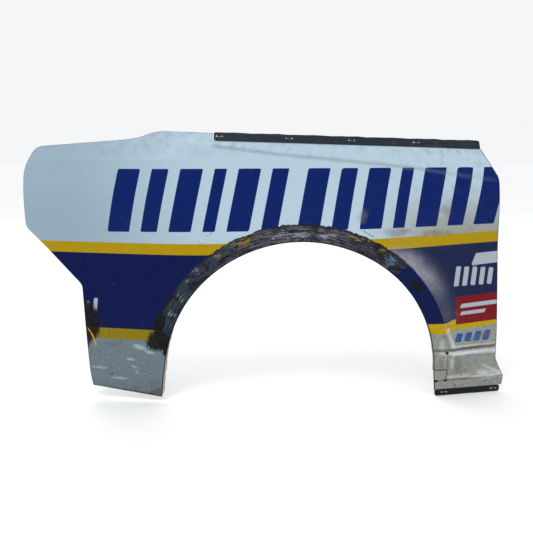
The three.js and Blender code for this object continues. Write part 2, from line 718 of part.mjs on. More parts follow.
// ---------- brace brackets ----------
// a block that follows the skin's back on one side and is flat on the other
function padGeometry(x, z) {
  const [halfX, halfZ] = [PAD_WIDTH / 2, PAD_HEIGHT / 2];
  const sides = [-1, 0, 1];
  const places = sides.flatMap((row) => sides.map((column) => [x + column * halfX, z + row * halfZ]));
  const backs = places.map(([atX, atZ]) => behindSurface(atX, atZ, SKIN_THICKNESS + PAD_GAP));
  const flat = Math.max(...backs) + PAD_DEPTH;
  const outer = places.map(([atX, atZ], index) => [atX, backs[index], atZ]);
  const inner = places.map(([atX, atZ]) => [atX, flat, atZ]);
  const triangles = [];
  const quad = (a, b, c, d) => triangles.push([a, b, c], [a, c, d]);
  for (const corner of [0, 1, 3, 4]) {
    quad(corner, corner + 1, corner + 4, corner + 3);
    quad(corner + 12, corner + 13, corner + 10, corner + 9);
  }
  const rim = [0, 1, 2, 5, 8, 7, 6, 3];
  rim.forEach((corner, index) => {
    const next = rim[(index + 1) % rim.length];
    quad(corner, corner + 9, next + 9, next);
  });
  return { geometry: closedMesh([...outer, ...inner], triangles), flat };
}

// side view of a bent angle: foot along X, upstand along Y, with a rounded bend
function angleShape() {
  const [foot, stand, thick] = [BRACKET_FOOT, BRACKET_STAND, BRACKET_THICKNESS];
  const inner = BRACKET_BEND_RADIUS;
  const shape = new THREE.Shape();
  shape.moveTo(foot, 0);
  shape.lineTo(foot, thick);
  shape.lineTo(thick + inner, thick);
  shape.absarc(thick + inner, thick + inner, inner, -Math.PI / 2, -Math.PI, true);
  shape.lineTo(thick, stand);
  shape.lineTo(0, stand);
  shape.lineTo(0, thick + inner);
  shape.absarc(thick + inner, thick + inner, thick + inner, Math.PI, Math.PI * 1.5, false);
  shape.closePath();
  return shape;
}

function domedRivet() {
  const shank = BRACKET_THICKNESS + FIT_GAP + PAD_DEPTH - 1;
  return turned([
    [0, -shank],
    [BRACE_RIVET_RADIUS, -shank],
    [BRACE_RIVET_RADIUS, FIT_GAP],
    ...RIVET_DOME,
  ]);
}

function braceBracket(name, x, z) {
  const pad = padGeometry(x, z);
  const rivets = [-BRACE_RIVET_SPACING / 2, BRACE_RIVET_SPACING / 2];
  const holeRadius = BRACE_RIVET_RADIUS + FIT_GAP;
  // local X up, local Y forwards, local Z inboard, on the pad's flat side
  const [up, inboard] = [new THREE.Vector3(0, 0, 1), new THREE.Vector3(0, 1, 0)];
  const seat = faceFrame(new THREE.Vector3(x, pad.flat, z), up, inboard);
  const rivetX = BRACKET_FOOT / 2 + BRACKET_HOLE_SHIFT;
  const holes = rivets.map((y) => roundBar(holeRadius, -CUTTER_REACH, CUTTER_REACH).translate(rivetX, y, 0));
  const padHoles = holes.map((hole) => hole.clone().applyMatrix4(seat));
  addPiece(`${name}_pad`, 'core_rib', cut(pad.geometry, padHoles));
  const width = BRACKET_WIDTH;
  const settings = { depth: width, bevelEnabled: false, curveSegments: 3 };
  const angle = new THREE.ExtrudeGeometry(angleShape(), settings);
  angle.rotateX(Math.PI / 2).translate(-BRACKET_OFFSET, width / 2, FIT_GAP);
  const bolt = roundBar(BRACE_BOLT_RADIUS, -CUTTER_REACH / 2, CUTTER_REACH / 2).rotateY(Math.PI / 2);
  bolt.translate(-BRACKET_OFFSET, 0, BRACKET_STAND - BRACKET_BOLT_DROP);
  addPiece(`${name}_bracket`, 'aluminium', cut(angle, [...holes, bolt]), seat);
  rivets.forEach((y, index) => {
    const place = shifted(seat, rivetX, y, FIT_GAP + BRACKET_THICKNESS);
    addPiece(`${name}_rivet_${index + 1}`, 'aluminium', domedRivet(), place);
  });
}

// ---------- assembly ----------
quarterSkin();
const restPoint = upperRail();
sillRail();
openingFlange();
tailFlange();
doorFlange();
deckFlange();
shoulderRib();
openingRib();
for (const [name, x, z] of BRACES) {
  braceBracket(name, x, z);
}
group.position.copy(restPoint).negate();

export default group;
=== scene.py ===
"""The looks of a stock car's right rear quarter panel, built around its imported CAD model.

Shapes and livery are laid out in millimetres from the centre of the wheel opening, with +X
towards the front of the car and +Z up. `to_row` moves them into the row frame, in metres.
"""

import json
import math

import bpy
import numpy as np
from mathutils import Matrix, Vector


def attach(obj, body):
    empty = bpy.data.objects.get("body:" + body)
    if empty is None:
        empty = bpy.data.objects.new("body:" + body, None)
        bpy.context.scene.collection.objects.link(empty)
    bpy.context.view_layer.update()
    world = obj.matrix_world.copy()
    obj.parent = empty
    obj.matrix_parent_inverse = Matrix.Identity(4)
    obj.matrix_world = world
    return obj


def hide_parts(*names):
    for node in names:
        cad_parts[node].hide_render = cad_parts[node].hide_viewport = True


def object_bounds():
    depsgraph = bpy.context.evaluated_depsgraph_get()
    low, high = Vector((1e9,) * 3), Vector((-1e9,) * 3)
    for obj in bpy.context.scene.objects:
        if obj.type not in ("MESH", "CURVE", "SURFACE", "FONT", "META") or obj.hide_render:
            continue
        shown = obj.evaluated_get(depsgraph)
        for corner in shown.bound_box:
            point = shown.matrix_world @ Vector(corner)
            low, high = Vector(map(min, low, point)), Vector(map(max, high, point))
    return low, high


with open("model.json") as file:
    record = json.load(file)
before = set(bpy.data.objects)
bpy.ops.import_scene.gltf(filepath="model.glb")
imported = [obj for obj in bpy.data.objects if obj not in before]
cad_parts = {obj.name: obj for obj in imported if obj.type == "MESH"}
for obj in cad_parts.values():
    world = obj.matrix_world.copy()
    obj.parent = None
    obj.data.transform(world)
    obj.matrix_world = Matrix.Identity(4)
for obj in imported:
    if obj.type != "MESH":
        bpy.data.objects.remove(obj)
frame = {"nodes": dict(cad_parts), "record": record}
CAD_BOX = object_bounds()

# the wheel opening's centre line in the row frame, in millimetres
LAYOUT_ORIGIN = np.array([-59.484, -131.517, -790.310])

# ---------- camera ----------
CAMERA_AIM = (-112.2, 0.0, 404.6)
CAMERA_ELEVATION = 10.0
CAMERA_DISTANCE = 2600.0
CAMERA_LENS = 56.65

# ---------- the skin's outline and surface, as in the CAD model ----------
SKIN_THICKNESS = 3.0
WHEEL_CENTRE_Z = 41.0
WHEEL_RADIUS = 437.0
BAND_WIDTH = 55.0
BAND_DROP = 13.0
LEG_BAND_WIDTH = 16.0
FRONT_BAND_WIDTH = 45.0
WEDGE_WIDTH, WEDGE_TOP = 28.0, 180.0  # a facet that widens down to the fold in the front leg
REAR_LEG_FOOT = (-451.0, -34.0)
REAR_LEG_BEND = (-440.0, 95.0)
FRONT_LEG_FOOT = (441.0, -26.0)
FOOT_START, ROUND_START, ROUND_END, FOOT_END = -10.0, 17.0, 180.0, 188.0
# corners of the outer edge as (x, z, radius, angle around the wheel opening that they face)
OUTER_CORNERS = [
    (-682, -7, 5, -10),
    (-689, 30, 30, -6),
    (-704, 331, 12, 20),
    (-881, 515, 16, 32),
    (-881, 694, 26, 37),
    (-850, 769, 24, 39),
    (-523, 794, 50, 45),
    (-459, 819, 40, 48),
    (-279, 812, 2, 50.5),
    (-279, 788, 8, 51.5),
    (583, 759, 3, 130),
    (634, 670, 12, 140),
    (652, 250, 60, 160),
    (657, 100, 12, 172),
    (656, 66, 16, 175),
    (684, 5, 5, 184),
    (679, -26, 3, 188),
]
CORNER_STEPS = 8
COLUMN_SPACING = 9.0
SKIN_ROWS = 116
EDGE_RADIUS = 1.1
EDGE_ROWS = (0.0, 0.35, 1.1)  # distances from an edge, in millimetres, of the rows that round it

# the crease under the roof pillar, with a groove along it, and the crease along the rear shoulder
CREASE_HEIGHT, CREASE_FALL, CREASE_SOFTNESS, PILLAR_LEAN = 740.0, 0.12, 8.0, 0.35
CREASE_GROOVE_DEPTH, CREASE_GROOVE_RISE, CREASE_GROOVE_SPREAD = 1.6, 4.0, 11.0
SHOULDER_HEIGHT, SHOULDER_RISE, SHOULDER_SOFTNESS, SHOULDER_LEAN = 739.0, 0.0127, 9.0, 0.7

# the sill's sweep at the foot of the front leg, and the fold above it
SILL_START, SILL_LIP_TOP, SILL_SWEEP, SILL_ANGLE = 484.0, 8.0, 66.0, 0.24
SILL_FADE = 26.0
BAND_SOFTNESS = 3.5
FOLD_HEIGHT, FOLD_DEPTH, FOLD_SPREAD = 104.0, 7.0, 7.0
RIDGE_DROP, RIDGE_HEIGHT, RIDGE_SPREAD = 10.0, 3.0, 10.0

# ---------- pieces behind the skin ----------
BOND_LINE = 0.9
RIB_TAPER, RIB_CORNER = 34.0, 1.6
RIB_HALF_SECTION = ((30, 0), (29.4, 1.1), (22.5, 1.7), (12.6, 12.6), (9.5, 14))
SHOULDER_RIB_START, SHOULDER_RIB_END, SHOULDER_RIB_HEIGHT = -724.0, 596.0, 660.0
OPENING_RIB_RADIUS, OPENING_RIB_START, OPENING_RIB_END = 548.0, 28.0, 148.0
LEG_RETURN, OPENING_RETURN = 48.0, 18.0
FLANGE_START, FLANGE_END, FLANGE_STEP = -9.5, 181.0, 0.9
# sections as (distance across, height off the skin's back); the free edge is the last part
FLANGE_BONDED_SECTION = (
    (0.5, 0),
    (12, 0),
    (24, 0),
    (24.6, 0.8),
    (24, 1.8),
    (12, 2),
    (4.2, 2),
    (2.9, 2.7),
    (2.5, 4.2),
)
FLANGE_FREE_SECTION = ((2.5, 1), (2.2, 1), (0.8, 1), (0.5, 1))
FREE_EDGE_DROPS = (0.9, 0.1, 0.0, 0.7)
RAW_EDGE_PROUD = 2.6
SOFTENED = {"bare_composite": 0.0005, "bracket_aluminium": 0.0006, "cored_composite": 0.0012}

# ---------- stage ----------
SKY_HORIZON, SKY_ZENITH = 0.93, 1.15
FLOOR_REACH = 14.0
# name, place, size, power and tint
LIGHTS = (
    ("high_front", (-1.2, -2.6, 3.6), 1.6, 62, (0.95, 0.98, 1.0)),
    ("sun_side", (3.2, -2.6, 0.4), 1.6, 10, (1.0, 0.95, 0.88)),
    ("back_fill", (-1.5, 3.2, 2.2), 3.0, 40, (0.95, 0.98, 1.0)),
)


# ---------- small maths ----------
def mix(a, b, t):
    return a + (b - a) * t


def smooth(start, end, value):
    t = np.clip((value - start) / (end - start), 0, 1)
    return t * t * (3 - 2 * t)


def soft_ramp(value, start, end):
    """Zero below start, slope one above end, with a smooth bend between them."""
    t = np.clip((value - start) / (end - start), 0, 1)
    return (end - start) * (t**3 - t**4 / 2) + np.maximum(value - end, 0)


def to_row(points):
    """Layout points in millimetres as row frame points in metres."""
    return (np.asarray(points, float) + LAYOUT_ORIGIN) / 1000


def colour(red, green, blue):
    """An sRGB colour, 0 to 255, as linear numbers."""
    parts = [channel / 255 for channel in (red, green, blue)]
    linear = [c / 12.92 if c < 0.04045 else ((c + 0.055) / 1.055) ** 2.4 for c in parts]
    return (*linear, 1.0)


# ---------- the outer surface as a depth over the side view ----------
def body_depth(x, z):
    wheel_level = 0.344 * soft_ramp(x, 60, 360) + 0.2 * soft_ramp(-x, 100, 520)
    shoulder_level = 10 + 0.1 * (x + 278) + 0.29 * soft_ramp(-x, 278, 700)
    lean = 0.25 * soft_ramp(z, 400, 660)
    tuck = 0.14 * soft_ramp(-z, -260, 40)
    return mix(wheel_level, shoulder_level, smooth(430, 660, z)) + lean + tuck


def crease_depth(x, z):
    over = z - SHOULDER_HEIGHT - SHOULDER_RISE * x
    rear = 1 - smooth(-560, -285, x)
    shoulder = SHOULDER_LEAN * rear * soft_ramp(over, -SHOULDER_SOFTNESS, SHOULDER_SOFTNESS)
    above = z - CREASE_HEIGHT + CREASE_FALL * x
    pillar = PILLAR_LEAN * smooth(-420, -290, x) * soft_ramp(above, -CREASE_SOFTNESS, CREASE_SOFTNESS)
    groove = np.exp(-(((above - CREASE_GROOVE_RISE) / CREASE_GROOVE_SPREAD) ** 2))
    return shoulder + pillar + CREASE_GROOVE_DEPTH * smooth(-300, -240, x) * groove


def from_opening(x, z):
    return np.hypot(x, np.maximum(z - WHEEL_CENTRE_Z, 0)) - WHEEL_RADIUS


def band_inside(x, z):
    """Distance inwards from the outer boundary of the band around the wheel opening."""
    share = np.clip((WEDGE_TOP - z) / (WEDGE_TOP - FOLD_HEIGHT), 0, 1)
    wedge = WEDGE_WIDTH * share * smooth(FOLD_HEIGHT - 5, FOLD_HEIGHT, z)
    narrow = np.where(x < 0, LEG_BAND_WIDTH, FRONT_BAND_WIDTH)
    width = mix(narrow, BAND_WIDTH, smooth(110, 200, z)) + np.where(x > 0, wedge, 0)
    return width - from_opening(x, z)


def depth_at(x, z):
    band = (BAND_DROP / BAND_WIDTH) * soft_ramp(band_inside(x, z), -BAND_SOFTNESS, BAND_SOFTNESS)
    depth = body_depth(x, z) + crease_depth(x, z) + band
    groove = FOLD_DEPTH * np.exp(-(((z - FOLD_HEIGHT) / FOLD_SPREAD) ** 2))
    ridge = RIDGE_HEIGHT * np.exp(-(((z - FOLD_HEIGHT + RIDGE_DROP) / RIDGE_SPREAD) ** 2))
    side = depth + (groove - ridge) * smooth(SILL_START, SILL_START + SILL_FADE, x)
    lip = body_depth(SILL_START, SILL_LIP_TOP) + SILL_ANGLE * (x - SILL_START)
    sweep = np.clip(1 - (z - SILL_LIP_TOP) / SILL_SWEEP, 0, 1) ** 3
    return mix(side, lip, np.where(x > 0, sweep, 0))


def behind_surface(x, z, thickness):
    """The depth a given thickness behind the outer surface."""
    step = 2.0
    slope_x = (depth_at(x + step, z) - depth_at(x - step, z)) / (2 * step)
    slope_z = (depth_at(x, z + step) - depth_at(x, z - step)) / (2 * step)
    return depth_at(x, z) + thickness * np.sqrt(1 + slope_x**2 + slope_z**2)


# ---------- edges of the skin ----------
def bend(start, middle, end, t):
    return tuple((1 - t) ** 2 * a + 2 * t * (1 - t) * b + t**2 * c for a, b, c in zip(start, middle, end))


def arc_point(degrees, radius=WHEEL_RADIUS):
    angle = math.radians(degrees)
    return (-radius * math.cos(angle), WHEEL_CENTRE_Z + radius * math.sin(angle))


def opening_point(degrees):
    if degrees < ROUND_START:
        t = (degrees - FOOT_START) / (ROUND_START - FOOT_START)
        return bend(REAR_LEG_FOOT, REAR_LEG_BEND, arc_point(ROUND_START), t)
    if degrees > ROUND_END:
        t = (degrees - ROUND_END) / (FOOT_END - ROUND_END)
        return tuple(mix(a, b, t) for a, b in zip(arc_point(ROUND_END), FRONT_LEG_FOOT))
    return arc_point(degrees)


def outer_edge():
    """The outer edge with rounded corners, as (x, z, facing angle)."""
    points = []
    for index, (x, z, radius, facing) in enumerate(OUTER_CORNERS):
        if index in (0, len(OUTER_CORNERS) - 1):
            points.append((x, z, facing))
            continue
        ends = []
        for near in (OUTER_CORNERS[index - 1], OUTER_CORNERS[index + 1]):
            share = min(radius / math.hypot(near[0] - x, near[1] - z), 0.45)
            ends.append((mix(x, near[0], share), mix(z, near[1], share), mix(facing, near[3], share)))
        for step in range(CORNER_STEPS + 1):
            points.append(bend(ends[0], (x, z, facing), ends[1], step / CORNER_STEPS))
    return points


def filled(points, spacing):
    """The points with more added, so that none are much further apart than spacing."""
    result = [points[0]]
    for start, end in zip(points, points[1:]):
        steps = max(1, round(math.dist(start[:2], end[:2]) / spacing))
        for step in range(1, steps + 1):
            result.append(tuple(mix(a, b, step / steps) for a, b in zip(start, end)))
    return result


def tucked_ends(points):
    """The outer edge with extra points close to both of its ends, for the rounded edges of the feet."""
    def near_end(end, inner):
        length = math.dist(end[:2], inner[:2])
        return [tuple(mix(a, b, gap / length) for a, b in zip(end, inner)) for gap in EDGE_ROWS[1:]]

    start, finish = near_end(points[0], points[1]), near_end(points[-1], points[-2])
    return [points[0], *start, *points[1:-1], *reversed(finish), points[-1]]


# ---------- meshes ----------
def grid_faces(columns, rows, start=0, flip=False):
    index = np.arange(columns * rows).reshape(columns, rows) + start
    a, b, c, d = index[:-1, :-1], index[:-1, 1:], index[1:, 1:], index[1:, :-1]
    quads = np.stack([d, c, b, a] if flip else [a, b, c, d], -1)
    return quads.reshape(-1, 4)


def closed_sheet(outer, inner):
    """Faces of a closed plate between two grids of points, and the number of faces on each side."""
    columns, rows = outer.shape[:2]
    count = columns * rows
    front = grid_faces(columns, rows)
    back = grid_faces(columns, rows, start=count, flip=True)
    index = np.arange(count).reshape(columns, rows)
    rim = np.concatenate([index[:, 0], index[-1, 1:], index[-2::-1, -1], index[0, -2:0:-1]])
    following = np.roll(rim, -1)
    walls = np.stack([rim, following, following + count, rim + count], -1)
    return np.concatenate([outer, inner]).reshape(-1, 3), np.concatenate([front, back, walls]), len(front)


def new_piece(name, points, faces, slot, replaces, materials, face_material=None):
    mesh = bpy.data.meshes.new(name)
    mesh.from_pydata(to_row(points).tolist(), [], [list(map(int, face)) for face in faces])
    for material in materials:
        mesh.materials.append(material)
    if face_material is not None:
        mesh.polygons.foreach_set("material_index", np.asarray(face_material, np.int32))
    mesh.polygons.foreach_set("use_smooth", np.ones(len(mesh.polygons), bool))
    mesh.validate()
    mesh.update()
    turn_outwards(mesh)
    piece = bpy.data.objects.new(name, mesh)
    bpy.context.scene.collection.objects.link(piece)
    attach(piece, "root")
    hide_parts(*replaces)
    return piece


def turn_outwards(mesh):
    """Flips a closed mesh if its faces point inwards."""
    mesh.calc_loop_triangles()
    places = np.empty(len(mesh.vertices) * 3, np.float32)
    mesh.vertices.foreach_get("co", places)
    triangles = np.empty(len(mesh.loop_triangles) * 3, np.int32)
    mesh.loop_triangles.foreach_get("vertices", triangles)
    corners = places.reshape(-1, 3)[triangles.reshape(-1, 3)].astype(float)
    volume = np.einsum("ij,ij->i", corners[:, 0], np.cross(corners[:, 1], corners[:, 2])).sum()
    if volume < 0:
        mesh.flip_normals()


def add_field(mesh, name, values):
    values = np.asarray(values, np.float32)
    kind = "FLOAT" if values.ndim == 1 else "FLOAT_VECTOR"
    field = mesh.attributes.new(name, kind, "POINT")
    field.data.foreach_set("value" if values.ndim == 1 else "vector", values.ravel())


# ---------- the livery, with its wear and the painted light and shade, as fields over the skin: above zero inside each shape, in millimetres ---
STRIPE_HALF = 17.6
UPPER_STRIPE_HEIGHT, UPPER_STRIPE_RISE = 454.3, 0.0262
LOWER_STRIPE_REAR, LOWER_STRIPE_FRONT = 175.5, 182.5
BAR_TOP, BAR_BOTTOM, BAR_LEAN, BAR_RISE = 703.0, 507.0, 0.2, 0.013
BAR_WIDTHS = (70, 52, 70, 38)
BAR_GAP = 36.0
BAR_GROUPS = ((-596.0, -70.0), (-4.0, 700.0))
PILLAR_CREASE = ((-278, 772), (-101, 749), (276, 711), (440, 689), (620, 662))
# the front leg's fold, upright groove and seam, which carry painted shade
FOLD_LINES = (((486, 108), (655, 112)), ((482, 100), (483, 2)), ((440, 3), (684, 6)))
# painted highlights: pale lines along the front leg's ridge and bright ledges
HIGHLIGHT_LINES = (
    ((480, 176), (506, 110)),
    ((500, 97), (655, 99)),
    ((486, 14), (676, 16)),
    ((612, 45), (676, 12)),
)
SCRATCHES = (
    ((-296, 497), (-268, 522)),
    ((-318, 470), (-290, 462)),
    ((-330, 482), (-302, 474)),
    ((-262, 508), (-218, 500)),
    ((176, 520), (218, 493)),
    ((192, 512), (236, 484)),
    ((-620, 168), (-618, 196)),
    ((-540, 168), (-538, 192)),
    ((360, 500), (371, 470)),
)
RECESS_REACH = 11.0
YELLOW_LINES = (((-690, 190), (-676, 168)), ((-676, 168), (-664, 133)))


def upper_stripe_height(x):
    return UPPER_STRIPE_HEIGHT + UPPER_STRIPE_RISE * soft_ramp(x, -520, -200)


def lower_stripe_height(x):
    front = LOWER_STRIPE_FRONT + 12 * smooth(465, 505, x) + 0.06 * soft_ramp(x, 500, 520)
    return np.where(x < 0, LOWER_STRIPE_REAR, front)


def slanted_box(x, z, left, right, bottom, top, lean=0.0, rise=0.0):
    """Inside distance of a box whose sides lean forwards and whose top and bottom rise forwards."""
    middle_x, middle_z = (left + right) / 2, (bottom + top) / 2
    across = (right - left) / 2 - np.abs(x - lean * (z - middle_z) - middle_x)
    up = (top - bottom) / 2 - np.abs(z - rise * (x - middle_x) - middle_z)
    return np.minimum(across, up)


def any_of(*fields):
    return np.maximum.reduce(fields)


def near_line(x, z, start, end):
    """Minus the distance from the line between two points."""
    along_x, along_z = end[0] - start[0], end[1] - start[1]
    share = ((x - start[0]) * along_x + (z - start[1]) * along_z) / (along_x**2 + along_z**2)
    share = np.clip(share, 0, 1)
    return -np.hypot(x - start[0] - share * along_x, z - start[1] - share * along_z)


def near_lines(x, z, lines):
    return any_of(*(near_line(x, z, start, end) for start, end in lines))


def lettering_bars(x, z):
    """Two groups of plain leaning bars in place of lettering."""
    bars = []
    bottom = BAR_BOTTOM + BAR_RISE * (x - BAR_GROUPS[0][0])
    for left, last in BAR_GROUPS:
        index = 0
        while left < last:
            width = BAR_WIDTHS[index % len(BAR_WIDTHS)]
            bar = slanted_box(x, z, left, left + width, BAR_BOTTOM - 40, BAR_TOP, BAR_LEAN)
            bars.append(np.minimum(bar, z - bottom))
            left += width + BAR_GAP
            index += 1
    return any_of(*bars)


def pale_decals(x, z):
    """Leaning bars in place of two pale marks."""
    row = []
    for left in range(496, 640, 29):
        row.append(slanted_box(x, z, left, left + 17, 322, 387 - 0.08 * (left - 496), 0.1))
    block = slanted_box(x, z, 560, 700, 392, 430, 0.4, 0.05)
    small = slanted_box(x, z, -668, -655, 247, 290, 0.12)
    return any_of(*row, block, small)


def faded_decal(x, z):
    return slanted_box(x, z, -692, -681, 247, 280, 0.12)


def red_decal(x, z):
    return slanted_box(x, z, 503, 700, 198, 291, -0.06, 0.045)


def red_decal_bars(x, z):
    upper = slanted_box(x, z, 522, 700, 252, 266, 0.5, 0.045)
    lower = slanted_box(x, z, 522, 608, 226, 238, 0.5, 0.045)
    return any_of(upper, lower)


def blue_decal(x, z):
    row = []
    for left in (508, 541, 574, 607):
        row.append(slanted_box(x, z, left, left + 22, 133, 163 + 0.04 * (left - 508), 0.25, 0.03))
    thin = slanted_box(x, z, 552, 645, 86, 95, 0.35, 0.03)
    return any_of(*row, thin)


def patch(x, z, centre_x, centre_z, half_x, half_z, lean=0.0):
    """One at the centre of an ellipse, falling to zero at its edge and below zero outside."""
    across = (x - centre_x - lean * (z - centre_z)) / half_x
    return 1 - np.hypot(across, (z - centre_z) / half_z)


def patches(x, z, *places):
    return any_of(*(patch(x, z, *place) for place in places))


def rubber_and_shade_marks(x, z):
    """Tyre rubber on the rear leg and the band's rear foot, and a few dark spots further forward, three
    of them painted shade at the corners of the front leg's fold and seam.
    """
    rear = ((-700, 190, 44, 74), (-690, 225, 46, 64), (-668, 196, 22, 46))
    foot = ((-455, 160, 42, 40), (-468, 152, 34, 32), (-452, 215, 22, 44, 0.2), (-432, 128, 16, 34))
    # the last three spots are painted shade at the corners of the front leg's fold and seam
    spots = ((369, 328, 17, 31, -0.6), (480, 3, 8, 6), (481, 98, 7, 6), (446, 2, 13, 6))
    return patches(x, z, *rear, *foot, *spots)


def yellow_marks(x, z):
    left = ((-205, 474, 84, 17, 0.5), (-165, 490, 46, 11, 0.5), (-262, 436, 30, 12, 0.4))
    right = ((148, 494, 52, 8, -0.8), (186, 484, 52, 9, -0.8), (250, 452, 30, 10, -0.8))
    leg = ((-678, 116, 12, 10), (-690, 92, 8, 12), (-450, 168, 20, 22))
    return patches(x, z, *left, *right, *leg)


def pale_marks(x, z):
    top = ((-20, 500, 110, 20, 0.2), (72, 496, 74, 17, -0.4), (-100, 492, 40, 8, 0.4))
    left = ((-360, 355, 14, 12), (-416, 246, 22, 18), (-385, 300, 20, 22), (-330, 390, 24, 14))
    return patches(x, z, *top, *left)


def pale_scuffs(x, z):
    """Pale rubs on the silver of both legs."""
    rear = ((-552, 92, 24, 9, -1.2), (-540, 66, 20, 8, -1.6), (-532, 48, 13, 7), (-655, 58, 44, 9, -2.5))
    upper = ((-520, 134, 34, 15, -1.0), (-486, 118, 26, 9, -1.0), (-590, 24, 46, 7, -2.0))
    front = ((560, 96, 54, 8, 2.0), (612, 22, 40, 16, -1.0), (462, 120, 16, 44), (500, 60, 12, 40))
    return patches(x, z, *rear, *upper, *front)


def smudges(x, z):
    """Grey finger and tyre smudges on the white and the silver."""
    white = ((462, 570, 30, 36), (300, 505, 80, 22), (190, 560, 26, 40), (420, 500, 110, 16))
    front_leg = ((520, 46, 44, 50), (461, 60, 18, 60), (600, 150, 60, 20))
    rear_leg = ((-472, 12, 34, 44), (-610, 140, 60, 14))
    return patches(x, z, *white, *front_leg, *rear_leg)


def painted_reflection(x, z):
    """Painted reflection: a pale sheen painted on the blue just in front of the band, strongest beside
    it.
    """
    beside = -band_inside(x, z)
    fade = smooth(0, 3, beside) * np.exp(-((np.maximum(beside - 14, 0) / 32) ** 2))
    rise = mix(0.2, 1.0, smooth(270, 370, z)) * smooth(185, 225, z)
    return fade * rise * (1 - smooth(425, 474, z)) * (x > 0)


def recess(x, z):
    """How far the surface lies behind its surroundings: above zero in a groove, below it on a ridge."""
    around = 0
    for turn in range(8):
        angle = math.pi * turn / 4
        near_x, near_z = x + RECESS_REACH * math.cos(angle), z + RECESS_REACH * math.sin(angle)
        around = around + depth_at(near_x, near_z) / 8
    return depth_at(x, z) - around


def livery_fields(x, z):
    upper, lower = upper_stripe_height(x), lower_stripe_height(x)
    angle = np.degrees(np.arctan2(np.maximum(z - WHEEL_CENTRE_Z, -60), -x))
    (rear_x, rear_z), (front_x, front_z) = OUTER_CORNERS[0][:2], REAR_LEG_FOOT
    foot = z - mix(rear_z, front_z, np.clip((x - rear_x) / (front_x - rear_x), 0, 1))
    pillar = zip(PILLAR_CREASE, PILLAR_CREASE[1:])
    return {
        "stripes": any_of(STRIPE_HALF - np.abs(z - upper), STRIPE_HALF - np.abs(z - lower)),
        "blue_field": np.minimum(upper - z, z - lower),
        "silver_field": lower - z,
        "bars": lettering_bars(x, z),
        "pale_decals": pale_decals(x, z),
        "faded_decal": faded_decal(x, z),
        "red_decal": red_decal(x, z),
        "red_decal_bars": red_decal_bars(x, z),
        "blue_decal": blue_decal(x, z),
        "band": band_inside(x, z),
        "band_angle": angle,
        "rubber_and_shade_marks": rubber_and_shade_marks(x, z),
        "yellow_marks": yellow_marks(x, z),
        "pale_marks": pale_marks(x, z),
        "pale_scuffs": pale_scuffs(x, z),
        "smudges": smudges(x, z),
        "painted_reflection": painted_reflection(x, z),
        "recess": recess(x, z),
        "rear_foot": np.where(x < 0, foot, 999.0),
        "pillar_crease": near_lines(x, z, pillar),
        "fold_lines": near_lines(x, z, FOLD_LINES),
        "painted_highlight_lines": near_lines(x, z, HIGHLIGHT_LINES),
        "scratches": near_lines(x, z, SCRATCHES),
        "yellow_lines": near_lines(x, z, YELLOW_LINES),
        "layout": np.stack([x, z, 0 * x], -1) / 1000,
        "along_band": np.stack([np.radians(angle) * WHEEL_RADIUS, from_opening(x, z), 0 * x], -1) / 1000,
    }


# ---------- materials ----------
class Paint:
    """Builds one material's nodes, with a Principled shader at their end."""

    def __init__(self, name):
        self.material = bpy.data.materials.new(name)
        self.material.use_nodes = True
        self.tree = self.material.node_tree
        self.shader = self.tree.nodes["Principled BSDF"]
        self.place = self.node("ShaderNodeTexCoord").outputs["Object"]

    def node(self, kind, **settings):
        made = self.tree.nodes.new(kind)
        for key, value in settings.items():
            setattr(made, key, value)
        return made

    def put(self, socket, value):
        if isinstance(value, bpy.types.NodeSocket):
            self.tree.links.new(value, socket)
        else:
            socket.default_value = value

    def math(self, operation, a, b=0.0):
        made = self.node("ShaderNodeMath", operation=operation)
        self.put(made.inputs[0], a)
        self.put(made.inputs[1], b)
        return made.outputs[0]

    def all_of(self, *masks):
        result = masks[0]
        for mask in masks[1:]:
            result = self.math("MULTIPLY", result, mask)
        return result

    def mix(self, share, a, b):
        made = self.node("ShaderNodeMix", data_type="RGBA")
        self.put(made.inputs["Factor"], share)
        self.put(made.inputs[6], a)
        self.put(made.inputs[7], b)
        return made.outputs[2]

    def blend(self, share, a, b):
        made = self.node("ShaderNodeMix", data_type="FLOAT")
        self.put(made.inputs[0], share)
        self.put(made.inputs[2], a)
        self.put(made.inputs[3], b)
        return made.outputs[0]

    def level(self, value, low, high, result_low=0.0, result_high=1.0):
        made = self.node("ShaderNodeMapRange", interpolation_type="SMOOTHSTEP")
        for key, number in zip(range(5), (value, low, high, result_low, result_high)):
            self.put(made.inputs[key], number)
        return made.outputs[0]

    def parts_of(self, vector):
        made = self.node("ShaderNodeSeparateXYZ")
        self.put(made.inputs[0], vector)
        return made.outputs

    def field(self, name, output="Fac"):
        made = self.node("ShaderNodeAttribute", attribute_name=name)
        return made.outputs[output]

    def stretched(self, place, scale):
        made = self.node("ShaderNodeMapping")
        self.put(made.inputs["Vector"], place)
        made.inputs["Scale"].default_value = scale
        return made.outputs[0]

    def noise(self, scale, detail=3.0, roughness=0.55, place=None, distortion=0.0):
        made = self.node("ShaderNodeTexNoise")
        self.put(made.inputs["Vector"], place or self.place)
        made.inputs["Scale"].default_value = scale
        made.inputs["Detail"].default_value = detail
        made.inputs["Roughness"].default_value = roughness
        made.inputs["Distortion"].default_value = distortion
        return made.outputs["Fac"]

    def finish(self, base, roughness, height=None, depth=0.0005, **shader):
        self.put(self.shader.inputs["Base Color"], base)
        self.put(self.shader.inputs["Roughness"], roughness)
        for key, value in shader.items():
            self.shader.inputs[key.replace("_", " ")].default_value = value
        if height is not None:
            made = self.node("ShaderNodeBump")
            made.inputs["Distance"].default_value = depth
            made.inputs["Strength"].default_value = 1.0
            self.put(made.inputs["Height"], height)
            self.put(self.shader.inputs["Normal"], made.outputs[0])
        return self.material


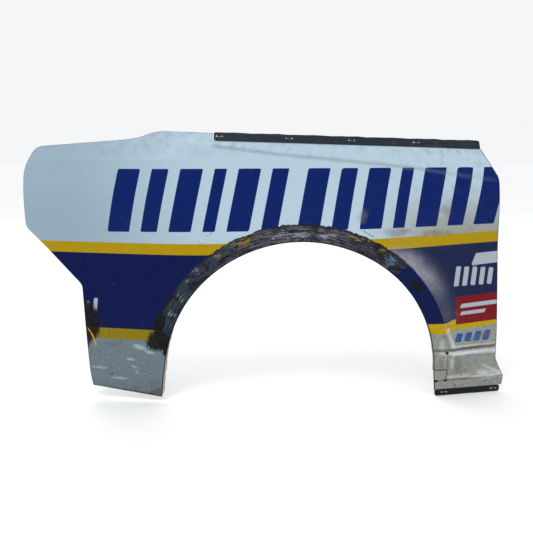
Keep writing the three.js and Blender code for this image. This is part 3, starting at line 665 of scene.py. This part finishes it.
INK_EDGE = 0.7  # half the width, in millimetres, over which a printed edge fades
YELLOW = colour(158, 131, 0)
YELLOW_REAR_LEG, YELLOW_FRONT_LEG = colour(129, 110, 0), colour(170, 142, 0)
BAND_BLUE, BAR_BLUE = colour(4, 18, 64), colour(0, 26, 88)
BLUE_REAR, BLUE_FRONT = colour(0, 14, 66), colour(20, 30, 64)
# one white print in three tones, as painted light and shade: darker and bluer at the rear, lighter
# forwards, greyer low at the front
WHITE_REAR, WHITE_FRONT, WHITE_LOW = colour(137, 157, 170), colour(164, 183, 196), colour(140, 144, 139)
SILVER_REAR, SILVER_FRONT = colour(99, 114, 123), colour(134, 137, 132)
RED, DECAL_BLUE, PALE = colour(107, 13, 23), colour(36, 74, 140), colour(154, 160, 170)
DIRT, BLACK_DIRT = colour(100, 93, 78), colour(22, 21, 22)
RUBBER_DARK, RUBBER_LIGHT = colour(10, 10, 13), colour(40, 38, 40)
# GLINT_CYAN is a painted glint on the band, laid at CYAN_PLACE
RUBBED_PALE, RUBBED_YELLOW, GLINT_CYAN = colour(146, 147, 150), colour(142, 122, 6), colour(88, 126, 148)
CYAN_PLACE, CYAN_RADIUS = (0.276, 0.415, 0.0), 0.036


class Wrap(Paint):
    """The printed wrap: each method lays one more coat over the ink."""

    def __init__(self):
        super().__init__("printed_wrap")
        self.layout, self.band_place = self.field("layout", "Vector"), self.field("along_band", "Vector")
        self.x, self.z = self.parts_of(self.layout)[:2]
        self.grime = self.noise(34.0, 6, 0.7, place=self.layout)
        self.fine = self.noise(150.0, 4, 0.7, place=self.layout)
        self.streaks = self.noise(1.0, 7, 0.7, self.stretched(self.band_place, (13, 190, 1)), 0.6)
        self.fine_streaks = self.noise(1.0, 5, 0.75, self.stretched(self.band_place, (44, 640, 1)), 0.4)
        self.blotches = self.noise(30.0, 5, 0.65, place=self.band_place)
        self.ink = WHITE_REAR

    def coat(self, mask, tint):
        self.ink = self.mix(mask, self.ink, tint)

    def inside(self, name):
        return self.level(self.field(name), -INK_EDGE, INK_EDGE)

    def printed(self, name, tint):
        self.coat(self.inside(name), tint)

    def near_place(self, place, radius):
        """One at a layout point, falling to zero at the radius, all in metres."""
        gap = self.node("ShaderNodeVectorMath", operation="DISTANCE")
        self.put(gap.inputs[0], self.layout)
        gap.inputs[1].default_value = place
        return self.level(gap.outputs["Value"], radius, 0.0)

    def centred(self, value, amount):
        """A noise turned into an offset around zero."""
        return self.math("MULTIPLY", self.math("SUBTRACT", value, 0.5), amount)

    def shaken(self, name, value, amount):
        """A field with noise added, so that a shape's edge wanders."""
        return self.math("ADD", self.field(name), self.centred(value, amount))

    def print_livery(self):
        x, z = self.x, self.z
        # painted light and shade: the white lightens from the rear forwards and turns greyer low at the
        # front
        self.coat(self.level(x, -0.78, -0.22), WHITE_FRONT)
        self.coat(self.all_of(self.level(x, 0.16, 0.46), self.level(z, 0.66, 0.50)), WHITE_LOW)
        self.printed("bars", BAR_BLUE)
        blue = self.mix(self.level(x, 0.15, 0.48), BLUE_REAR, BLUE_FRONT)
        silver = self.mix(self.level(x, -0.1, 0.1), SILVER_REAR, SILVER_FRONT)
        self.printed("blue_field", blue)
        self.printed("silver_field", silver)
        self.mottle_legs()
        self.in_blue = self.inside("blue_field")
        stripes = self.inside("stripes")
        leg_yellow = self.mix(self.level(x, -0.1, 0.1), YELLOW_REAR_LEG, YELLOW_FRONT_LEG)
        self.coat(stripes, self.mix(self.level(z, 0.36, 0.26), YELLOW, leg_yellow))
        self.in_blue = self.all_of(self.in_blue, self.math("SUBTRACT", 1.0, stripes))
        self.printed("pale_decals", PALE)
        self.coat(self.all_of(self.inside("faded_decal"), 0.35), PALE)
        self.printed("red_decal", RED)
        self.printed("red_decal_bars", PALE)
        self.printed("blue_decal", DECAL_BLUE)

    def mottle_legs(self):
        """Fine grey mottling and broad stains on the silver, stronger on the front leg."""
        forward = self.level(self.x, 0.3, 0.5, 0.4, 1.0)
        legs = self.all_of(self.inside("silver_field"), forward)
        for start, end, tint in ((0.51, 0.66, colour(70, 68, 64)), (0.48, 0.34, colour(176, 182, 184))):
            self.coat(self.all_of(self.level(self.fine, start, end, 0, 0.36), legs), tint)
        stain = self.level(self.noise(15.0, 5, 0.7, place=self.layout), 0.5, 0.66, 0, 0.42)
        self.coat(self.all_of(stain, legs), colour(104, 99, 88))

    def weather(self):
        """Road film, specks and rubs, painted shade in the creases, grooves and dips, painted highlights
        on the front leg's ridges and ledges, and a painted reflection on the blue beside the band.
        """
        x, z = self.x, self.z
        low = self.level(z, 0.30, 0.12)
        inked = self.math("MAXIMUM", self.in_blue, self.inside("bars"))
        bright = self.math("SUBTRACT", 1.0, self.math("MULTIPLY", inked, 0.8))
        film = self.level(self.grime, 0.46, 0.70, 0.0, 0.30)
        dusty = self.math("MAXIMUM", low, self.level(x, 0.1, 0.5, 0.1, 0.7))
        self.coat(self.all_of(film, bright, dusty), DIRT)
        specks = self.level(self.noise(260.0, 3, 0.6, place=self.layout), 0.61, 0.67)
        self.coat(self.all_of(specks, bright, self.level(z, 0.5, 0.1, 0.1, 0.75)), colour(44, 42, 40))
        pits = self.level(self.noise(85.0, 2, 0.5, place=self.layout), 0.675, 0.695)
        self.coat(self.all_of(pits, low, 0.85), BLACK_DIRT)
        # painted reflection: a pale grey-blue sheen on the blue beside the band
        painted_reflection = self.math("MULTIPLY", self.field("painted_reflection"), self.level(self.grime, 0.3, 0.7, 0.6, 0.95))
        self.coat(painted_reflection, colour(138, 138, 149))
        smudge = self.level(self.shaken("smudges", self.grime, 1.8), 0.15, 0.9, 0, 0.5)
        self.coat(smudge, colour(96, 90, 80))
        scuff = self.level(self.shaken("pale_scuffs", self.fine, 1.6), 0.25, 0.6, 0, 0.5)
        self.coat(scuff, colour(176, 184, 190))
        # painted shade: a soft dark line along the crease under the roof pillar
        pillar = self.level(self.shaken("pillar_crease", self.grime, 10.0), -11.0, 0.0, 0.0, 0.42)
        self.coat(self.all_of(pillar, self.level(x, 0.64, 0.30, 0.35, 1.0)), colour(98, 104, 112))
        shoulder = self.all_of(self.level(self.grime, 0.45, 0.68, 0, 0.3), self.level(z, 0.735, 0.755))
        self.coat(shoulder, colour(120, 122, 122))
        # painted shade: darker where the surface lies behind its surroundings, in grooves and dips
        painted_hollow_shade = self.level(self.shaken("recess", self.grime, 1.6), 0.1, 2.4, 0, 0.62)
        self.coat(painted_hollow_shade, colour(74, 70, 62))
        # painted highlight: lighter where the front leg's surface stands proud of its surroundings
        front_leg = self.all_of(self.level(x, 0.44, 0.49), low)
        painted_crest_highlight = self.level(self.shaken("recess", self.grime, 1.2), -0.15, -1.5, 0, 0.6)
        self.coat(self.all_of(painted_crest_highlight, front_leg), colour(202, 204, 200))
        # painted highlight: pale lines along the front leg's ridge and ledges
        ridge = self.level(self.shaken("painted_highlight_lines", self.grime, 22.0), -9.0, 1.0, 0, 0.6)
        self.coat(ridge, colour(196, 198, 194))
        # painted shade: dark lines along the front leg's fold, its upright groove and the seam over the
        # sill lip
        fold = self.level(self.shaken("fold_lines", self.grime, 12.0), -6.0, 1.0, 0, 0.62)
        self.coat(fold, colour(58, 55, 50))
        scratch = self.level(self.shaken("scratches", self.fine, 2.6), -1.5, -0.6, 0, 0.85)
        self.coat(scratch, BLACK_DIRT)

    def scrape_band(self):
        """Torn wrap over streaked composite around the wheel opening."""
        angle = self.field("band_angle")
        torn = self.noise(26.0, 6, 0.75, place=self.layout)
        edge = self.shaken("band", torn, 24.0)
        end = self.math("ADD", angle, self.centred(torn, 12.0))
        around = self.all_of(self.level(end, 132.5, 131.5), self.level(end, 11.0, 12.0))
        self.scraped = self.all_of(self.level(edge, -1.5, 1.0), around)
        clean = self.all_of(self.level(self.field("band"), -1, 1), self.level(end, 130.0, 131.0))
        self.coat(self.all_of(clean, self.in_blue), BAND_BLUE)
        # painted highlight: the streaks are painted lighter towards the top of the opening, and they turn
        # darker towards its rear
        light = self.mix(self.level(angle, 40.0, 78.0), colour(56, 64, 78), colour(92, 94, 103))
        light = self.mix(self.level(angle, 100.0, 118.0), light, colour(50, 54, 64))
        base = self.mix(self.level(self.streaks, 0.38, 0.64), colour(16, 17, 23), light)
        bare = self.mix(self.level(angle, 50.0, 84.0), colour(88, 98, 108), colour(140, 140, 146))
        base = self.mix(self.level(self.fine_streaks, 0.54, 0.68, 0, 0.8), base, bare)
        base = self.mix(self.level(self.fine_streaks, 0.46, 0.36, 0, 0.8), base, colour(14, 14, 18))
        teal = self.all_of(self.level(angle, 84.0, 50.0), self.level(self.blotches, 0.50, 0.60, 0, 0.7))
        base = self.mix(teal, base, colour(34, 56, 66))
        base = self.mix(self.level(self.blotches, 0.52, 0.40, 0, 0.75), base, colour(18, 18, 24))
        self.coat(self.scraped, base)
        rim = self.all_of(self.scraped, self.level(edge, 8.0, 2.0, 0, 0.8))
        self.coat(rim, colour(20, 20, 24))

    def rub(self):
        """Colours rubbed into the band, a painted glint on it, and tyre rubber with a few spots of
        painted shade.
        """
        torn = self.noise(1.0, 5, 0.7, self.stretched(self.band_place, (34, 210, 1)), 0.8)
        marks = (
            ("pale_marks", 4.4, 0.64, 0.98, 0.7, RUBBED_PALE),
            ("yellow_marks", 4.6, 0.74, 0.90, 0.85, RUBBED_YELLOW),
        )
        for name, shake, low, high, most, tint in marks:
            self.coat(self.level(self.shaken(name, torn, shake), low, high, 0, most), tint)
        # painted glint: a pale blue-green patch on the band
        painted_glint = self.near_place(CYAN_PLACE, CYAN_RADIUS)
        painted_glint = self.level(self.math("ADD", painted_glint, self.centred(torn, 3.6)), 0.5, 1.1, 0, 0.8)
        self.coat(painted_glint, GLINT_CYAN)
        upright = self.noise(1.0, 5, 0.7, self.stretched(self.layout, (240, 26, 1)), 0.5)
        smear = self.math("ADD", self.shaken("rubber_and_shade_marks", upright, 1.3), self.centred(self.fine, 0.5))
        self.rubber = self.level(smear, 0.04, 0.34, 0, 0.97)
        self.coat(self.rubber, self.mix(self.level(self.fine, 0.45, 0.7), RUBBER_DARK, RUBBER_LIGHT))
        line = self.level(self.shaken("yellow_lines", self.fine, 2.0), -2.8, -1.4)
        self.coat(line, colour(186, 150, 8))

    def edges(self):
        """Dark, chipped margins."""
        outer = self.level(self.shaken("from_rim", self.fine, 3.0), 3.4, 1.6, 0, 0.8)
        self.coat(self.all_of(outer, self.level(self.x, 0.3, 0.56, 0.35, 1.0)), colour(40, 40, 46))
        mouth = self.level(self.shaken("from_mouth", self.fine, 5.0), 4.6, 2.4, 0, 0.85)
        self.coat(mouth, colour(18, 18, 20))
        foot = self.level(self.shaken("rear_foot", self.fine, 34.0), 7.0, 2.0, 0, 0.9)
        self.coat(self.all_of(foot, self.level(self.x, -0.68, -0.5, 0.55, 1.0)), colour(46, 42, 38))
        splash = self.level(self.shaken("rear_foot", self.grime, 190.0), 22.0, 0.0, 0, 0.62)
        self.coat(self.all_of(splash, self.level(self.x, -0.66, -0.46, 0.2, 1.0)), colour(64, 60, 56))

    def done(self):
        worn = self.math("MAXIMUM", self.scraped, self.rubber)
        glossy = self.level(self.grime, 0.3, 0.8, 0.20, 0.42)
        dull = self.level(self.streaks, 0.3, 0.8, 0.42, 0.75)
        cuts = self.math("ADD", self.streaks, self.math("MULTIPLY", self.fine_streaks, 0.4))
        height = self.math("MULTIPLY", self.scraped, cuts)
        rough = self.blend(worn, glossy, dull)
        return self.finish(self.ink, rough, height, 0.0014, Specular_IOR_Level=0.08)


def printed_wrap():
    wrap = Wrap()
    wrap.print_livery()
    wrap.weather()
    wrap.scrape_band()
    wrap.rub()
    wrap.edges()
    return wrap.done()


def laminate(name, dark, light, tow=0.0045, gloss=0.42):
    """A woven laminate: two crossing sets of tows, with a twill's diagonal step."""
    p = Paint(name)
    x, _, z = p.parts_of(p.place)
    across = p.math("DIVIDE", x, tow)
    up = p.math("DIVIDE", z, tow)
    step = p.math("FLOOR", p.math("ADD", p.math("FLOOR", across), p.math("FLOOR", up)))
    over = p.math("GREATER_THAN", p.math("MODULO", p.math("ABSOLUTE", step), 4.0), 1.5)
    round_x = p.math("SINE", p.math("MULTIPLY", across, math.pi * 2))
    round_z = p.math("SINE", p.math("MULTIPLY", up, math.pi * 2))
    tows = p.blend(over, round_x, round_z)
    resin = p.noise(14.0, 4)
    shade = p.math("ADD", p.math("MULTIPLY", over, 0.35), p.math("MULTIPLY", resin, 0.65))
    base = p.mix(p.level(shade, 0.2, 0.9), dark, light)
    dust = p.level(p.noise(5.0, 5, 0.65), 0.5, 0.75, 0, 0.25)
    base = p.mix(dust, base, colour(96, 92, 84))
    roughness = p.level(resin, 0.3, 0.7, gloss, gloss + 0.2)
    return p.finish(base, roughness, tows, 0.0001, Specular_IOR_Level=0.4)


def bare_strip():
    """Satin black composite, dusty, with scratches along it."""
    p = Paint("bare_strip")
    along = p.stretched(p.place, (6, 40, 220))
    scratches = p.noise(1.0, 5, 0.7, along)
    dust = p.noise(22.0, 5, 0.7)
    base = p.mix(p.level(scratches, 0.5, 0.75, 0, 0.5), colour(17, 27, 39), colour(50, 60, 72))
    base = p.mix(p.level(dust, 0.55, 0.8, 0, 0.5), base, colour(92, 92, 88))
    height = p.parts_of(p.place)[2]
    base = p.mix(p.level(height, -0.6, -0.78, 0, 0.8), base, colour(6, 8, 13))
    return p.finish(base, p.level(dust, 0.3, 0.8, 0.42, 0.65), scratches, 0.00025, Specular_IOR_Level=0.2)


def raw_edge():
    """Tan laminate cut raw, with pale broken fibres."""
    p = Paint("raw_edge")
    fibres = p.noise(1.0, 5, 0.75, p.stretched(p.place, (60, 420, 160)))
    dirt = p.noise(30.0, 5, 0.7)
    base = p.mix(p.level(fibres, 0.35, 0.68), colour(112, 102, 80), colour(206, 201, 186))
    base = p.mix(p.level(dirt, 0.5, 0.68, 0, 0.5), base, colour(64, 58, 48))
    return p.finish(base, 0.8, fibres, 0.0006, Specular_IOR_Level=0.25)


def skin_edge():
    """The cut edge of the laminate under the wrap."""
    p = Paint("skin_edge")
    fibres = p.noise(1.0, 4, 0.7, p.stretched(p.place, (120, 700, 120)))
    base = p.mix(p.level(fibres, 0.3, 0.7), colour(24, 24, 26), colour(88, 84, 78))
    return p.finish(base, p.level(fibres, 0.3, 0.7, 0.55, 0.8), fibres, 0.0003)


def metal(name, base_dark, base_light, roughness, grain=(40, 40, 900)):
    p = Paint(name)
    lines = p.noise(1.0, 3, 0.6, p.stretched(p.place, grain))
    stain = p.noise(60.0, 4, 0.6)
    base = p.mix(p.level(stain, 0.35, 0.7), base_light, base_dark)
    rough = p.level(lines, 0.3, 0.7, roughness, roughness + 0.18)
    return p.finish(base, rough, lines, 0.00006, Metallic=1.0)


# ---------- pieces ----------
def skin_columns():
    """Layout x and z of the skin's grid, ruled from the wheel opening to the outer edge."""
    edge = tucked_ends(filled(outer_edge(), COLUMN_SPACING))
    starts = np.array([opening_point(facing) for _, _, facing in edge])
    ends = np.array([(x, z) for x, z, _ in edge])
    lengths = np.hypot(*(ends - starts).T)[:, None]
    near = np.array(EDGE_ROWS)[None] / lengths
    middle = np.linspace(0, 1, SKIN_ROWS)[None] * (1 - 2 * near[:, -1:] - 0.01) + near[:, -1:] + 0.005
    shares = np.concatenate([near, middle, 1 - near[:, ::-1]], 1)[..., None]
    return starts[:, None] * (1 - shares) + ends[:, None] * shares, shares[..., 0] * lengths, lengths


def edge_rounding(columns, from_mouth, lengths):
    """How far the outer surface falls away within a rounded edge."""
    def fall(distance):
        inside = np.clip(EDGE_RADIUS - distance, 0, EDGE_RADIUS)
        return EDGE_RADIUS - np.sqrt(np.maximum(EDGE_RADIUS**2 - inside**2, 0))

    to_ends = np.full(columns.shape[:2], 99.0)
    for index, gap in enumerate(EDGE_ROWS):
        to_ends[index] = gap
        to_ends[-1 - index] = gap
    return fall(np.minimum(np.minimum(from_mouth, lengths - from_mouth), to_ends))


def ripples(x, z):
    """Slight waves in the moulded skin, under half a millimetre."""
    wave = np.sin(x / 61 + 1.3 * np.sin(z / 83)) * np.sin(z / 47 + 0.9 * np.sin(x / 120))
    return 0.28 * wave + 0.14 * np.sin(x / 23 + z / 31)


def quarter_skin():
    columns, from_mouth, lengths = skin_columns()
    x, z = columns[..., 0], columns[..., 1]
    fade = np.clip(np.minimum(from_mouth, lengths - from_mouth) / 30, 0, 1)
    wave = ripples(x, z) * fade
    front = depth_at(x, z) + wave + edge_rounding(columns, from_mouth, lengths)
    back = behind_surface(x, z, SKIN_THICKNESS) + wave
    outer, inner = np.stack([x, front, z], -1), np.stack([x, back, z], -1)
    points, faces, side = closed_sheet(outer, inner)
    kinds = np.concatenate([np.zeros(side), np.ones(side), np.full(len(faces) - 2 * side, 2)])
    looks = [printed_wrap(), LAMINATE, skin_edge()]
    piece = new_piece("quarter_skin_fine", points, faces, "wrapped_skin", ["quarter_skin"], looks, kinds)
    fields = livery_fields(x, z)
    fields["from_mouth"] = from_mouth
    fields["from_rim"] = lengths - from_mouth
    for name, values in fields.items():
        flat = values.reshape(-1) if values.ndim == 2 else values.reshape(-1, values.shape[-1])
        add_field(piece.data, name, np.concatenate([flat, flat]))


def sweep(name, rings, slot, replaces, material):
    """A bar through rings of points, with flat ends."""
    rings = np.asarray(rings, float)
    count, around = rings.shape[:2]
    faces = []
    for ring in range(count - 1):
        for side in range(around):
            a, b = ring * around + side, ring * around + (side + 1) % around
            faces.append([a, b, b + around, a + around])
    faces.append(list(range(around))[::-1])
    faces.append(list(range((count - 1) * around, count * around)))
    return new_piece(name, rings.reshape(-1, 3), faces, slot, replaces, [material])


def across_path(path):
    """Unit normals across a path of (x, z) points, to the right of the way it runs."""
    along = np.gradient(path, axis=0)
    along /= np.hypot(*along.T)[:, None]
    return np.stack([along[:, 1], -along[:, 0]], 1)


def section_rings(path, side, section, gap, heights=1.0):
    """Rings along a path of a section given as (distance across, height off the skin's back)."""
    path, section = np.asarray(path, float), np.asarray(section, float)
    places = path[:, None] + side * section[None, :, :1] * across_path(path)[:, None]
    back = behind_surface(places[..., 0], places[..., 1], SKIN_THICKNESS + gap)
    return np.stack([places[..., 0], back + section[None, :, 1] * heights, places[..., 1]], -1)


def rounded(corners, radius, steps=3):
    """A closed outline with its corners rounded."""
    points = []
    for index, corner in enumerate(corners):
        ends = []
        for near in (corners[index - 1], corners[(index + 1) % len(corners)]):
            share = min(radius / math.dist(near, corner), 0.45)
            ends.append([mix(a, b, share) for a, b in zip(corner, near)])
        points += [bend(ends[0], corner, ends[1], step / steps) for step in range(steps + 1)]
    return points


def rib(name, path, node):
    """A foam core under a laminate cap, with thin bonded feet and tapered ends."""
    mirrored = [(-across, up) for across, up in reversed(RIB_HALF_SECTION)]
    section = rounded([*RIB_HALF_SECTION, *mirrored], RIB_CORNER)
    steps = np.hypot(*np.diff(path, axis=0).T)
    travelled = np.concatenate([[0], np.cumsum(steps)])
    to_end = np.minimum(travelled, travelled[-1] - travelled)
    taper = 0.12 + 0.88 * smooth(0, RIB_TAPER, to_end)
    rings = section_rings(path, 1, section, BOND_LINE, taper[:, None])
    sweep(name, rings, "cored_composite", [node], CORED_LAMINATE)


def ribs():
    along = np.linspace(SHOULDER_RIB_START, SHOULDER_RIB_END, 121)
    level = np.full(len(along), SHOULDER_RIB_HEIGHT)
    rib("shoulder_rib_fine", np.stack([along, level], 1), "shoulder_rib")
    angles = np.linspace(OPENING_RIB_START, OPENING_RIB_END, 97)
    around = [arc_point(angle, OPENING_RIB_RADIUS) for angle in angles]
    rib("wheel_opening_rib_fine", np.array(around), "wheel_opening_rib")


def opening_flange():
    """The angle around the wheel opening, cut raw and ragged along its free edge."""
    angles = np.arange(FLANGE_START, FLANGE_END, FLANGE_STEP)
    path = np.array([opening_point(angle) for angle in angles])
    height = mix(LEG_RETURN, OPENING_RETURN, smooth(14, 40, angles))
    random = np.random.default_rng(11)
    swells = np.convolve(random.normal(0, 1, len(angles) + 8), np.ones(9) / 4, "valid")
    ragged = swells + random.normal(0, 0.7, len(angles))
    rings = section_rings(path, -1, [*FLANGE_BONDED_SECTION, *FLANGE_FREE_SECTION], BOND_LINE)
    base = rings[:, 0, 1]
    free = len(FLANGE_BONDED_SECTION)
    proud = (1 - smooth(9, 22, angles)) * (RAW_EDGE_PROUD + np.clip(ragged, -1.2, 1.2))
    rings[:, free - 2 :, 0] += proud[:, None]
    for place, drop in enumerate(FREE_EDGE_DROPS, free):
        rings[:, place, 1] = base + height + np.clip(ragged, -2.2, 1.6) - drop
    material = carried["raw_composite"]
    sweep("wheel_opening_flange_fine", rings, "raw_composite", ["wheel_opening_flange"], material)


def soften(node, width):
    """Rounds a carried-over part's edges."""
    weld = node.modifiers.new("weld", "WELD")
    weld.merge_threshold = 0.00002
    bevel = node.modifiers.new("bevel", "BEVEL")
    bevel.width, bevel.segments = width, 2
    bevel.limit_method, bevel.angle_limit = "ANGLE", math.radians(38)


LAMINATE = laminate("black_laminate", colour(22, 23, 26), colour(52, 54, 58))
CORED_LAMINATE = laminate("cored_laminate", colour(38, 39, 42), colour(84, 86, 90), 0.005, 0.4)
quarter_skin()

carried = {
    "bare_composite": bare_strip(),
    "raw_composite": raw_edge(),
    "cored_composite": CORED_LAMINATE,
    "rivet_aluminium": metal("rivet_aluminium", colour(120, 124, 128), colour(190, 194, 198), 0.3),
    "bracket_aluminium": metal("bracket_aluminium", colour(140, 144, 148), colour(196, 200, 204), 0.32),
    "plated_steel": metal("plated_steel", colour(120, 108, 70), colour(190, 178, 128), 0.35),
}
slots = {part["node"]: part["material_slot"] for part in frame["record"]["subparts"]}
for name, node in frame["nodes"].items():
    if slots[name] in carried:
        node.data.materials.clear()
        node.data.materials.append(carried[slots[name]])
    if slots[name] in SOFTENED:
        soften(node, SOFTENED[slots[name]])
ribs()
opening_flange()


# ---------- floor, lights and camera ----------
def area_light(name, place, aim, size, power, tint):
    lamp = bpy.data.lights.new(name, "AREA")
    lamp.shape, lamp.size, lamp.energy, lamp.color = "DISK", size, power, tint
    made = bpy.data.objects.new(name, lamp)
    made.location = place
    made.rotation_euler = (Vector(aim) - Vector(place)).to_track_quat("-Z", "Y").to_euler()
    bpy.context.scene.collection.objects.link(made)


def stage():
    low, high = CAD_BOX
    mesh = bpy.data.meshes.new("floor")
    signs = [(-1, -1), (1, -1), (1, 1), (-1, 1)]
    corners = [(a * FLOOR_REACH, b * FLOOR_REACH, low[2]) for a, b in signs]
    mesh.from_pydata(corners, [], [[0, 1, 2, 3]])
    p = Paint("floor_paint")
    p.finish(p.mix(p.noise(2.0), (0.86, 0.86, 0.86, 1), (0.9, 0.9, 0.9, 1)), 0.7)
    mesh.materials.append(p.material)
    floor = bpy.data.objects.new("floor", mesh)
    bpy.context.scene.collection.objects.link(floor)
    bpy.context.scene.world = sky()
    bpy.context.scene.view_settings.view_transform = "Standard"
    middle = (low + high) / 2
    for name, place, size, power, tint in LIGHTS:
        area_light(name, place, middle, size, power, tint)


def sky():
    """A soft white dome, brighter overhead."""
    world = bpy.data.worlds.new("studio")
    world.use_nodes = True
    tree = world.node_tree
    place = tree.nodes.new("ShaderNodeTexCoord")
    split = tree.nodes.new("ShaderNodeSeparateXYZ")
    ramp = tree.nodes.new("ShaderNodeMapRange")
    for key, number in zip(range(1, 5), (0.05, 1.0, SKY_HORIZON, SKY_ZENITH)):
        ramp.inputs[key].default_value = number
    tree.links.new(place.outputs["Generated"], split.inputs[0])
    tree.links.new(split.outputs[2], ramp.inputs[0])
    background = tree.nodes["Background"]
    background.inputs["Color"].default_value = (0.98, 0.99, 1.0, 1)
    tree.links.new(ramp.outputs[0], background.inputs["Strength"])
    return world


def camera():
    data = bpy.data.cameras.new("camera")
    data.lens, data.sensor_width = CAMERA_LENS, 36
    made = bpy.data.objects.new("camera", data)
    tilt = math.radians(CAMERA_ELEVATION)
    aim = Vector(to_row(CAMERA_AIM))
    away = Vector((0, -math.cos(tilt), math.sin(tilt)))
    made.location = aim + away * CAMERA_DISTANCE / 1000
    made.rotation_euler = (-away).to_track_quat("-Z", "Y").to_euler()
    bpy.context.scene.collection.objects.link(made)
    bpy.context.scene.camera = made


stage()
camera()
